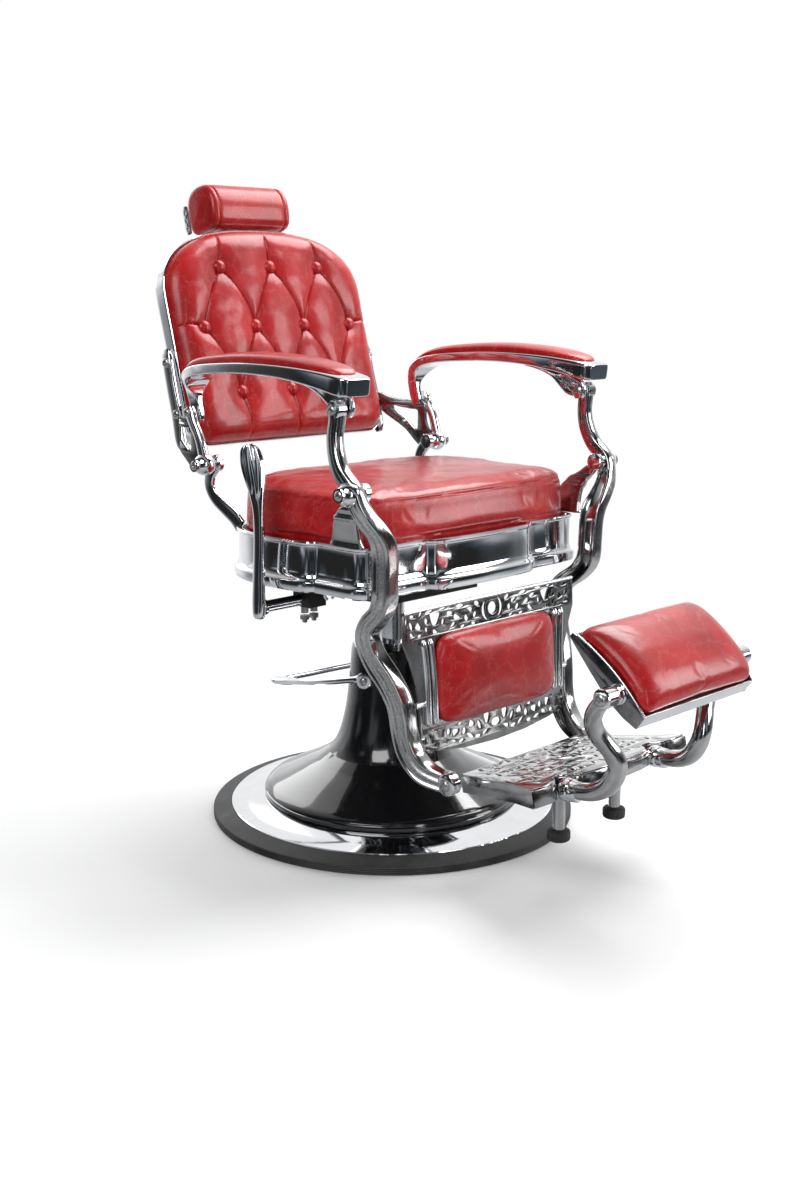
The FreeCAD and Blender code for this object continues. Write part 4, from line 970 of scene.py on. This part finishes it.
def pleats():
    """Sewn lines between the buttons and out to the pad's edges, as pairs of points."""
    lines = []
    for (low, low_xs), (high, high_xs) in zip(BUTTON_ROWS, BUTTON_ROWS[1:]):
        for a in low_xs:
            for b in high_xs:
                if abs(a - b) < 70:
                    lines.append(((a, low), (b, high)))
    foot, middle, top = BUTTON_ROWS
    lines += [((x, foot[0]), (x * 0.97, BACK_FOOT)) for x in foot[1]]
    lines += [((x, top[0]), (x * 0.9, CROWN)) for x in top[1]]
    lines += [((x, middle[0]), (math.copysign(BACK_HALF, x), middle[0]))
              for x in (middle[1][0], middle[1][-1])]
    return lines


def back_height(x, z, edge):
    """How far the tufted leather stands proud at a place; edge is its distance from the outline."""
    puffed = 33 * (1 - (1 - np.clip(edge / 48, 0, 1)) ** 2.4) ** 0.5
    height = puffed + 5 * np.cos(np.clip(x / 260, -1, 1) * 1.3) - 3
    crease = np.zeros_like(x)
    fine = np.zeros_like(x)
    for (ax, az), (bx, bz) in pleats():
        dx, dz = bx - ax, bz - az
        length = math.hypot(dx, dz)
        t = np.clip(((x - ax) * dx + (z - az) * dz) / length ** 2, 0, 1)
        bow = 7 * np.sin(math.pi * t) * (1 if dx >= 0 else -1) * (1 if abs(dx) > 20 else 0.35)
        px, pz = ax + t * dx - dz / length * bow, az + t * dz + dx / length * bow
        gap = np.hypot(x - px, z - pz)
        crease = np.maximum(crease, np.exp(-gap / 11))
        fine = np.maximum(fine, np.exp(-(gap / 1.7) ** 2))
    dimple = np.zeros_like(x)
    for row, xs in BUTTON_ROWS:
        for bx in xs:
            gap = np.hypot(x - bx, z - row)
            dimple = np.maximum(dimple, np.exp(-(gap / 24) ** 1.6))
    fade = np.clip(edge / 30, 0, 1)
    return height - fade * (3.6 * crease + 3.4 * fine + 9.5 * dimple) - (1 - fade) * 2.2 * fine


def back_pad():
    outline = back_outline(4, 600)[0]
    centre = np.array([0, 150])
    rings = [across_back(outline, 9), across_back(outline, 3)]
    for level in 1 - np.linspace(0, 1, 120) ** 1.1:
        ring = centre + (outline - centre) * max(level, 0.004)
        edge = (1 - level) * np.linalg.norm(outline - centre, axis=1) * 0.93
        height = back_height(ring[:, 0], ring[:, 1], edge)
        wrinkle = soft_noise(layer(ring, 0), 0.012, 1.1)
        depth = -height - 1 + wrinkle * np.clip(height / 20, 0, 1)
        rings.append(np.stack([ring[:, 0], depth, ring[:, 1]], 1))
    piece = skin("tufted_leather", [on_back(ring) for ring in rings], LEATHER, "back", "back_pad", sharp=75)
    dome = [(-6, 12), (-2, 13.8), (2, 14.5), (5.5, 13.9), (9, 11.6), (11.6, 8), (13, 4), (13.4, 0.8)]
    for row, xs in BUTTON_ROWS:
        for x in xs:
            proud = back_height(np.array([x * 1.0]), np.array([row * 1.0]), np.array([60.0]))[0]
            start = on_back([[x, -proud - 2.6, row]])[0]
            names = ("back_buttons",) if (x, row) == (0, 38) else ()
            turned_on("button_%d_%d" % (row, x), start, -REAR, dome, LEATHER, "back", *names,
                      around=32, sharp=70)


def back_shell():
    profile = [(-14, 10), (-6, 4), (-2.5, -1.2), (-0.6, -2.2), (0.8, -1), (1, 2), (0.6, 6), (0.6, 22),
               (0, 27), (-2.5, 30.5), (-7, 32), (-30, 32.6)]
    points, normals = back_outline(0, 360)
    rings = [across_back(points + normals * out, across) for out, across in profile]
    centre = np.array([0, 33.5, 150])
    rings += [centre + (rings[-1] - centre) * part for part in (0.7, 0.35, 0.02)]
    skin("chrome_shell", [on_back(ring) for ring in rings], CHROME, "back", "back_shell", sharp=30)


def headrest_guide():
    block = closed_curve([(-30, 236), (-27, 231), (0, 230), (27, 231), (30, 236), (30, 279), (27, 284),
                          (0, 285), (-27, 284), (-30, 279)], 80)[0]
    openwork("guide_block", (block,), 17, lambda p: on_back(np.stack([p[:, 0], 41 + p[:, 2], p[:, 1]], 1)),
             ALLOY, "back", "headrest_guide", bevel=2.4)
    for k, (x, along) in enumerate(((-22, 239), (22, 239), (-22, 276), (22, 276))):
        screw("guide_screw_%d" % k, on_back([[x, 49, along]])[0], REAR, 4.6, "back")


def bent(points):
    """The bracket's flat shape (y, z, thickness), with its rear end turned in towards the back's strap."""
    past = np.clip(points[:, 0] - 256, 0, None)
    return np.stack([296.5 + points[:, 2] - 0.58 * past, points[:, 0] - 0.22 * past, points[:, 1]], 1)


def back_brackets():
    y, z = joint_mm("recline")[1:]
    rear_y, rear_z = joint_mm("armrest_left_pivot")[1:]
    strap = [(258, 302, 699, 8, 14), (259, 306, 711, 12, 25), (259, 318, 765, 12, 26),
             (258, 336, 830, 12, 26), (257, 346, 873, 12, 24), (256, 350, 885, 8, 15)]
    post = [(304, y, z + 4, 18, 26), (305, y + 4, z + 26, 16, 22), (306, y + 13, z + 52, 15, 20),
            (306, rear_y - 11, rear_z - 20, 15, 21), (305, rear_y - 2, rear_z - 2, 16, 24),
            (305, rear_y + 1, rear_z + 10, 13, 16)]
    ball = [(-20, 6), (-18, 11), (-13, 16), (-7, 19), (0, 20.4), (7, 19), (13, 16), (18, 11), (20, 6)]
    outside = closed_curve([
        (178, 694), (190, 706), (200, 724), (203, 748), (206, 761), (216, 766), (240, 765), (272, 768),
        (300, 774), (318, 781), (325, 772), (317, 752), (300, 737), (271, 717), (245, 696), (224, 679),
        (204, 668), (186, 672)], 90)[0]
    window = closed_curve([
        (221, 744), (224, 749), (244, 750), (268, 753), (286, 757), (289, 752), (280, 741), (260, 727),
        (241, 712), (228, 705), (222, 709), (221, 726)], 60)[0]
    for side, word in SIDES:
        side_bar("back_strap_" + word, side, strap, 5, oval(4, 24), CHROME, "back", "back_link_" + word)
        for k, (screw_y, screw_z) in enumerate(((341, 861), (313, 766))):
            names = ("back_rivets",) if (side, k) == (1, 0) else ()
            screw("strap_screw_%s_%d" % (word, k), (side * 264, screw_y, screw_z), (side, 0, 0), 9, "back",
                  *names)
        openwork("back_casting_" + word, (outside, window), 7,
                 lambda p: bent(p) * (side, 1, 1), PEWTER, "back", "back_bracket_" + word, bevel=1.4)
        side_bar("rear_post_" + word, side, post, 6, oval(2.4, 24), CHROME, "back")
        turned_out("rear_ball_" + word, side, (304, y, z), ball, CHROME, "back", around=48, sharp=60)
        screw("rear_post_screw_" + word, (side * 313, rear_y, rear_z), (side, 0, 0), 8, "back",
              "rear_rivet_" + word)


# ---------------------------------------------------------------- headrest

def headrest():
    low, half = 370, 100
    seam_at = 17                        # the end caps' seam, from each end
    section, normals = closed_curve([
        (2, 5), (-5, 14), (-9, 30), (-10, 50), (-5, 70), (8, 85), (30, 92), (54, 89), (72, 76), (80, 54),
        (80, 28), (76, 9), (66, 1), (44, 0), (16, 0)], 84)
    middle = section.mean(0)
    rings = []
    for along in np.concatenate([np.linspace(0, 14, 9), np.linspace(15, 19, 7), np.linspace(22, half, 16)]):
        edge = min(along / 13, 1)
        shrink = 13 * (1 - math.sqrt(max(1 - (1 - edge) ** 2, 0)))
        seam = 1.8 * math.exp(-((along - seam_at) / 1.3) ** 2)
        pinch = 0.9 * math.exp(-abs(along - seam_at) / 5)
        ring = section - normals * (shrink + seam + pinch)
        rings.append(np.stack([np.full(len(ring), along - half), ring[:, 0], low + ring[:, 1]], 1))
    centre = np.array([-half - 3, middle[0], low + middle[1]])
    rings = [centre + (rings[0] - centre) * part for part in (0.04, 0.35, 0.65, 0.88)] + rings
    rings += [ring * (-1, 1, 1) for ring in rings[-2::-1]]
    piece = loft("headrest_leather", [on_back(ring) for ring in rings], LEATHER, "headrest", "headrest_pad",
                 sub=0, sharp=70)
    loop = closed_curve([
        (72, 7), (82, 8), (84, 14), (84, 56), (82, 62), (72, 61), (71, 56), (71, 12)], 60)[0]
    slots = [opening("oval", 77.5, at, 4.4, 9) for at in (18, 34, 50)]
    for side, word in SIDES:
        openwork("headrest_plate_" + word, [loop] + slots, 3,
                 lambda p: on_back(np.stack([side * (101.5 + p[:, 2]), p[:, 0], low + p[:, 1]], 1)),
                 CHROME, "headrest", bevel=0.7)


# ---------------------------------------------------------------- calf panel and footrest

PANEL_LEAN = math.atan2(16, 257)
TREAD_SLOPE = math.radians(10)


def on_panel(points):
    """From (sideways, up the panel, forward of its rear face) to the chair's frame."""
    x, h, out = points.T
    return np.stack([x, -262 + h * math.sin(PANEL_LEAN) - out * math.cos(PANEL_LEAN),
                     208 + h * math.cos(PANEL_LEAN) + out * math.sin(PANEL_LEAN)], 1)


def on_tread(points):
    """From (sideways, forward, above the plate's top) to the chair's frame."""
    x, v, w = points.T
    return np.stack([x, -332 - v * math.cos(TREAD_SLOPE) + w * math.sin(TREAD_SLOPE),
                     186 + v * math.sin(TREAD_SLOPE) + w * math.cos(TREAD_SLOPE)], 1)


def calf_panel():
    half = [(0, 257), (227, 257), (227, 205), (212, 170), (199, 130), (194, 90), (194, 14), (150, 3),
            (80, -6), (0, -9)]
    outline = half + [(-x, h) for x, h in half[-2:0:-1]]
    upper = [
        ("oval", 0, 233, 25, 24, 0), ("crescent", 24, 231, 40, 10, -4), ("oval", 40, 247, 17, 10, 20),
        ("drop", 60, 240, 20, 10, 200), ("oval", 46, 228, 11, 13, 30), ("oval", 50, 213, 14, 7, 12),
        ("petal", 84, 249, 26, 9, 4), ("oval", 68, 225, 15, 11, 50), ("drop", 90, 230, 24, 11, 20),
        ("oval", 78, 212, 14, 7, 0),
        ("oval", 110, 240, 18, 9, 8), ("drop", 106, 217, 22, 9, 150), ("petal", 128, 251, 24, 7, -6),
        ("oval", 128, 228, 9, 14, 10), ("wedge", 148, 236, 24, 23, 95), ("drop", 146, 213, 18, 9, 20),
        ("petal", 160, 251, 20, 7, 0), ("oval", 169, 235, 10, 13, -20), ("drop", 168, 218, 16, 8, 70),
        ("drop", 184, 247, 18, 9, 120), ("wedge", 188, 228, 16, 11, 40), ("oval", 186, 212, 12, 7, 0),
        ("oval", 203, 248, 13, 7, 10), ("petal", 206, 232, 20, 9, 66), ("drop", 204, 216, 14, 8, 30),
        ("petal", 217, 241, 18, 7, 96)]
    lower = [
        ("oval", 0, 24, 26, 17, 0), ("wedge", 24, 35, 20, 14, 90), ("drop", 26, 12, 22, 9, -20),
        ("petal", 44, 27, 24, 10, 62), ("oval", 48, 7, 18, 8, 5), ("wedge", 64, 33, 16, 12, 20),
        ("petal", 68, 12, 24, 9, 30), ("oval", 84, 24, 12, 15, 10), ("drop", 92, 39, 16, 7, 0),
        ("oval", 92, 8, 16, 8, -6), ("wedge", 106, 27, 17, 12, -15), ("petal", 114, 11, 22, 8, 12),
        ("oval", 124, 31, 11, 14, 8), ("drop", 136, 15, 18, 9, 160), ("wedge", 144, 32, 16, 12, 80),
        ("oval", 156, 15, 13, 10, 0), ("drop", 158, 41, 14, 7, 180), ("petal", 170, 29, 22, 9, 70),
        ("oval", 178, 12, 14, 8, 20), ("wedge", 186, 27, 13, 9, 84), ("oval", 186, 43, 8, 12, 0)]
    openwork("calf_openwork", [np.array(outline, float)] + both_halves(upper + lower), 4,
             lambda p: on_panel(p + (0, 0, 6)), PEWTER, "leg_rest", "calf_panel", bevel=0.7)
    ends = ((54, 3), (58, 5.6), (70, 6.4), (130, 6.4), (188, 6.4), (200, 5.6), (206, 3))
    for side, word in SIDES:
        for k, x in enumerate((161, 178)):
            rib = [(side * (x + max(up - 160, 0) * 0.16), -271 + (up - 52) * math.sin(PANEL_LEAN), 208 + up,
                    radius) for up, radius in ends]
            round_bar("panel_rib_%s_%d" % (word, k), rib, CHROME, "leg_rest", around=16, per=4)
    rim = [(x, -254.5, 464.5, 3.2) for x in np.linspace(-224, 224, 9)]
    round_bar("panel_rim", rim, CHROME, "leg_rest", around=14, per=2)


def calf_pad():
    corner = [(122, 50), (144, 58), (153, 80), (155, 128), (153, 178), (144, 198), (122, 206)]
    outline = closed_curve(corner + [(0, 207)] + [(-x, up) for x, up in corner[::-1]] + [(0, 49)], 150)[0]
    middle = np.array([0, 128])
    profile = [(1 + grow / 105, out) for grow, out in (
        (-3, 7.6), (0, 8.6), (1, 13), (0, 19), (-4, 24), (-11, 28.5), (-22, 32), (-38, 34.6))]
    profile += [(0.45, 36), (0.25, 37), (0.08, 37.4)]
    rings = [on_panel(layer(middle + (outline - middle) * part, out)) for part, out in profile]
    soft_pad("calf_leather", rings, "leg_rest", "calf_pad", 2.5, 4,
             lambda p: (p[:, 1] > -273.5 + (p[:, 2] - 208) * 0.062).astype(float))


def soft_pad(name, rings, body, node, pressure, cap, held):
    """Leather pad from closed rings, bottom to top, swelled by the cloth simulation."""
    mesh = flat_mesh(name, rings, -1)
    shape = bmesh.new()
    shape.from_mesh(mesh)
    bmesh.ops.recalc_face_normals(shape, faces=shape.faces)
    shape.to_mesh(mesh)
    shape.free()
    piece = finish_mesh(name, puff(mesh, 4, pressure, cap, held), LEATHER, body, (node,), sharp=65)


def tread_sheet(name, loops, thick, middle, material, *replaced, bevel):
    """Sheet along the footrest's plate; middle is the height of its mid-plane above the plate's top."""
    openwork(name, loops, thick, lambda p: on_tread(p + (0, 0, middle)), material, "leg_rest", *replaced,
             bevel=bevel)


def footrest():
    front = [(209, 198), (186, 203), (160, 203), (147, 196), (135, 181), (122, 175), (109, 181), (97, 196),
             (84, 206), (60, 212), (30, 215), (0, 216)]
    half = [(0, 0), (160, 0), (187, 138)] + front
    outline = np.array(half + [(-x, v) for x, v in half[-2:0:-1]], float)
    cuts = [("oval", 0, 100, 34, 30, 0), ("crescent", 26, 100, 44, 9, 0), ("petal", 0, 130, 24, 10, 90),
            ("petal", 0, 70, 24, 10, 90), ("oval", 0, 152, 14, 10, 0), ("oval", 0, 48, 14, 10, 0),
            ("petal", 0, 186, 34, 12, 90), ("petal", 0, 24, 24, 9, 90)]
    for row in range(7):
        v = 16 + row * 27
        reach = 150 + 0.19 * v
        for k, x in enumerate(np.arange(40 if 50 < v < 150 else 22, reach - 12, 17.5)):
            if v > 165 and 92 < x < 150:
                continue
            lean = 34 if (row + k) % 2 else -28
            kind = ("petal", "drop", "bar", "crescent")[(k + row * 2) % 4]
            cuts.append((kind, float(x), float(v + 3 * math.sin(k * 1.9 + row)), 21, 6.5, 90 + lean))
    tread_sheet("tread_openwork", [outline] + both_halves(cuts), 4, -2, ALLOY, "footrest_plate", bevel=0.8)
    rail = [(160, 0), (187, 138), (209, 199), (203, 199), (181, 139), (154, 1)]
    corner = [(207, 202), (170, 205), (150, 198), (141, 186), (130, 178), (130, 168), (150, 176), (172, 190),
              (196, 190)]
    for side, word in SIDES:
        tread_sheet("tread_rail_" + word, (np.array(rail) * (side, 1),), 30, -17.5, ALLOY,
                    *once(side, "footrest_frame"), bevel=1)
        tread_sheet("tread_corner_" + word, (np.array(corner) * (side, 1),), 29, -17, PEWTER, bevel=1.6)
    bow = [(114, 176), (104, 190), (90, 205), (60, 211), (0, 214)]
    inner = [(0, 196), (60, 194), (90, 186), (110, 168)]
    loop = bow + [(-x, v) for x, v in bow[-2::-1]] + [(-x, v) for x, v in inner[:0:-1]] + inner
    tread_sheet("tread_beam", (np.array(loop, float),), 27, -17, ALLOY, bevel=2.4)


def prop_legs():
    """Two short legs under the footrest, with knurled rubber feet."""
    leg_x, leg_y, low = 77, -480, 86
    ridges = 2 * 15
    shank = [(low + 13, 4), (low + 14, 10.6), (186, 10.6), (188, 11.2), (190, 16), (203, 16.5), (203.5, 6)]
    # Rows are height, radius and depth of the knurl.
    foot = ((0, 17, 0), (1.5, 19, 0), (4, 20, 0.8), (15, 20, 0.8), (17.5, 18.6, 0), (19, 15, 0),
            (20, 10.4, 0))
    for side, word in SIDES:
        place = (side * leg_x, leg_y)
        turned_on("prop_leg_" + word, (*place, 0), (0, 0, 1), shank, ALLOY, "leg_rest",
                  *once(side, "prop_legs"))
        rings = []
        for height, radius, knurl in foot:
            reach = radius - knurl * (np.arange(2 * ridges) % 4 > 1)
            rings.append(layer(circle(1, 2 * ridges) * reach[:, None] + place, low + height))
        loft("knurled_foot_" + word, rings, RUBBER, "leg_rest", *once(side, "rubber_feet"), sub=0, crisp=0.1)


# ---------------------------------------------------------------- foot pad

PAD_SLOPE = math.radians(38)
PAD_PIVOT = joint_mm("foot_pad_tilt")


def on_foot_pad(points):
    """From (sideways, rearwards along the pad, above its pivot) to the chair's frame."""
    x, u, w = points.T
    return np.stack([x, PAD_PIVOT[1] + u * math.cos(PAD_SLOPE) - w * math.sin(PAD_SLOPE),
                     PAD_PIVOT[2] + u * math.sin(PAD_SLOPE) + w * math.cos(PAD_SLOPE)], 1)


def pad_arch(u):
    """Height of the side plate's curved top edge above the pivot."""
    return 17 - 11 * ((u - 34) / 88) ** 2


def foot_pad():
    half, ahead, behind = 150, -54, 121
    y, z = PAD_PIVOT[1:]
    along = np.linspace(ahead, behind, 26)
    under = [(behind + 2, -2), (100, -7), (60, -15), (20, -22), (-8, -24), (-30, -23), (ahead - 2, -18)]
    loop = np.array([(u, pad_arch(u)) for u in along] + under, float)
    hole = opening("oval", 33, -4, 5, 5)
    spacer = [(0, 8), (0, 15), (2, 16.5), (5, 16.5), (6.5, 14), (8, 14), (9.5, 15.6), (12, 15.6),
              (13.5, 13.4), (15, 13.4), (16.5, 14.6), (19, 14.6), (20.5, 12), (22, 8)]
    for side, word in SIDES:
        openwork("pad_side_" + word, (loop, hole), 5,
                 lambda p: on_foot_pad(np.stack([side * (half + p[:, 2]), p[:, 0], p[:, 1]], 1)),
                 PEWTER, "foot_pad", *once(side, "foot_pad_tray"), bevel=0.8)
        lip = on_foot_pad(np.array([(side * (half + 0.5), u, pad_arch(u) + 1.2) for u in along[::3]]))
        round_bar("pad_lip_" + word, [(*p, 2.1) for p in lip], CHROME, "foot_pad", around=10, per=3)
        turned_out("pad_spacer_" + word, side, (half + 1, y, z), spacer, CHROME, "foot_pad",
                   *once(side, "foot_pad_pins"), around=44)
        screw("pad_screw_" + word, (side * 199, y, z), (side, 0, 0), 11.5, "foot_pad")
    section = oval(6, 20)
    for name, u, low in (("front", ahead, -20), ("rear", behind, -4)):
        tall = pad_arch(u) - low
        flat = np.stack([u + section[:, 0] * 5, low + tall / 2 + section[:, 1] * tall], 1)
        rings = [on_foot_pad(np.column_stack([np.full(20, x), flat])) for x in np.linspace(-half, half, 9)]
        loft("pad_strip_" + name, rings, CHROME, "foot_pad", sub=0, crisp=0.1)
    board = [on_foot_pad(np.array([(-half, ahead, low), (-half, behind, low + 6),
                                   (half, behind, low + 6), (half, ahead, low)])) for low in (-4.0, 0.0)]
    loft("pad_floor", board, SATIN, "foot_pad", sub=0, crisp=0.02)
    knob = on_foot_pad(np.array([[half + 2, 66, 4.0]]))[0]
    turned_on("pad_knob", knob, (1, 0, 0), [(0, 4), (6, 4), (6.5, 9), (9, 11), (14, 11), (16, 9), (16.5, 4)],
              RUBBER, "foot_pad")

    swell = [(3 + 24 * math.sin(t * math.pi / 2) ** 0.9, 2 + 40 * t ** 1.6, t)
             for t in (k / 11 for k in range(12))]
    rings = [on_foot_pad(pad_ring(half, ahead, behind, lift, inset, crown))
             for lift, inset, crown in [(-10, 5, 0), (-2, 3, 0)] + swell]
    soft_pad("foot_leather", rings, "foot_pad", "foot_pad", 2.5, 5, lambda p: np.zeros(len(p)))


def pad_ring(half, ahead, behind, lift, inset, crown):
    """Rounded rectangle on the arched top of the foot pad."""
    corner = 16 + 0.8 * max(inset - 5, 0)
    points = []
    for quarter, (sx, su) in enumerate(((1, 1), (-1, 1), (-1, -1), (1, -1))):
        centre_x = sx * (half - inset - corner)
        centre_u = (behind if su > 0 else ahead) - su * (inset + corner)
        for k in range(7):
            turn = math.radians(90 * quarter + 15 * k)
            points.append((centre_x + corner * math.cos(turn), centre_u + corner * math.sin(turn)))
    points = np.array(points)
    dense = []
    for index, (a, b) in enumerate(zip(points, np.roll(points, -1, 0))):
        steps = 24 if index % 7 == 6 else 1
        dense += [a + (b - a) * k / steps for k in range(steps)]
    dense = np.array(dense)
    return np.stack([dense[:, 0], dense[:, 1], pad_arch(dense[:, 1]) + lift + 3 * crown], 1)


# ---------------------------------------------------------------- studio

WHITE = (1.0, 1.0, 1.0)
FLOOR_TONE = (0.90, 0.90, 0.90)
FLOOR_IN_CHROME = (0.40, 0.41, 0.42)    # what reflections see, so that chrome keeps a grey underside


def studio_floor():
    """Pale floor that fades out round the chair and catches its shadow."""
    mesh = bpy.data.meshes.new("floor")
    mesh.from_pydata([(-9, -9, 0), (9, -9, 0), (9, 9, 0), (-9, 9, 0)], [], [(0, 1, 2, 3)])
    floor = bpy.data.objects.new("floor", mesh)
    bpy.context.scene.collection.objects.link(floor)
    material, tree, shader = new_material("pale_floor", FLOOR_TONE, 0.55)
    coords = tree.nodes.new("ShaderNodeTexCoord")
    reach = tree.nodes.new("ShaderNodeVectorMath")
    reach.operation = "LENGTH"
    drive(tree, shader, "Alpha", reach.outputs["Value"], (0.0, 1.0), (0.62, 1.0), (1.0, 0.0))
    scale = tree.nodes.new("ShaderNodeMapping")
    scale.inputs["Scale"].default_value = (0.5, 0.5, 0.5)
    tree.links.new(coords.outputs["Object"], scale.inputs["Vector"])
    tree.links.new(scale.outputs["Vector"], reach.inputs[0])
    paths = tree.nodes.new("ShaderNodeLightPath")
    tone = blend_colour(tree, "MIX", paths.outputs["Is Glossy Ray"], FLOOR_TONE, FLOOR_IN_CHROME)
    tree.links.new(tone, shader.inputs["Base Color"])
    mesh.materials.append(material)


def studio_world():
    """White to the camera; a sweep of light and a few grey things for everything else."""
    world = bpy.data.worlds.new("studio")
    bpy.context.scene.world = world
    world.use_nodes = True
    tree = world.node_tree
    background = tree.nodes["Background"]
    coords = tree.nodes.new("ShaderNodeTexCoord")
    dot = tree.nodes.new("ShaderNodeVectorMath")
    dot.operation = "DOT_PRODUCT"
    tree.links.new(coords.outputs["Generated"], dot.inputs[0])
    dot.inputs[1].default_value = (0.68, 0.70, 0.22)
    sweep = ramp(tree, dot.outputs["Value"], (
        (0.0, 0.02), (0.12, 0.05), (0.35, 0.30), (0.62, 0.85), (0.85, 1.0)))
    room = tree.nodes.new("ShaderNodeTexNoise")
    room.inputs["Scale"].default_value = 2.6
    room.inputs["Detail"].default_value = 1.5
    tree.links.new(coords.outputs["Generated"], room.inputs["Vector"])
    things = ramp(tree, room.outputs["Fac"], (
        (0.46, (0.0, 0.0, 0.0)), (0.54, (0.03, 0.045, 0.06)), (0.60, (0.14, 0.15, 0.16)),
        (0.68, (0.42, 0.43, 0.45))))
    around = blend_colour(tree, "ADD", 1.0, sweep, things)
    paths = tree.nodes.new("ShaderNodeLightPath")
    seen = blend_colour(tree, "MIX", paths.outputs["Is Camera Ray"], around, WHITE)
    tree.links.new(seen, background.inputs["Color"])
    background.inputs["Strength"].default_value = 1.0


def aim(thing, place, target):
    """Puts a lamp or camera at a place, facing a target, both in metres."""
    thing.location = place
    thing.rotation_euler = (Vector(target) - Vector(place)).to_track_quat("-Z", "Y").to_euler()
    bpy.context.scene.collection.objects.link(thing)


def lamps():
    """Soft panels: name, place, size, watts and the height on the chair's axis that each faces."""
    for name, place, size, power, height in (
            ("key", (-2.8, -1.0, 2.8), (2.0, 2.0), 62, 0.6),
            ("front", (2.5, -2.7, 1.6), (1.1, 1.9), 50, 0.7),
            ("near", (-1.15, -3.1, 1.2), (0.35, 2.0), 13, 0.5),
            ("top", (1.4, -0.1, 2.8), (1.8, 1.8), 74, 0.4),
            ("rim", (0.4, 2.9, 2.0), (1.8, 1.8), 22, 0.7)):
        light = bpy.data.lights.new(name, "AREA")
        light.shape = "RECTANGLE"
        light.size, light.size_y = size
        light.energy = power
        aim(bpy.data.objects.new(name, light), place, (0, 0, height))


def camera():
    """The photo's view: from the chair's front right, a little above the seat."""
    data = bpy.data.cameras.new("camera")
    data.sensor_width = 36
    data.lens = 43.1
    data.shift_x = 0.011
    view = bpy.data.objects.new("camera", data)
    aim(view, (-1.885, -1.918, 0.999), (0, 0, 0.4153))
    bpy.context.scene.camera = view
    bpy.context.scene.view_settings.view_transform = "Standard"


# ---------------------------------------------------------------- everything in turn

dress_cad_nodes()
floor_base()
column()
pump_handle()
seat_pan()
seat_cushion()
seat_brackets()
recline_lever()
front_castings()
foot_arms()
armrests()
back_pad()
back_shell()
headrest_guide()
back_brackets()
headrest()
calf_panel()
calf_pad()
footrest()
prop_legs()
foot_pad()
studio_floor()
studio_world()
lamps()
camera()
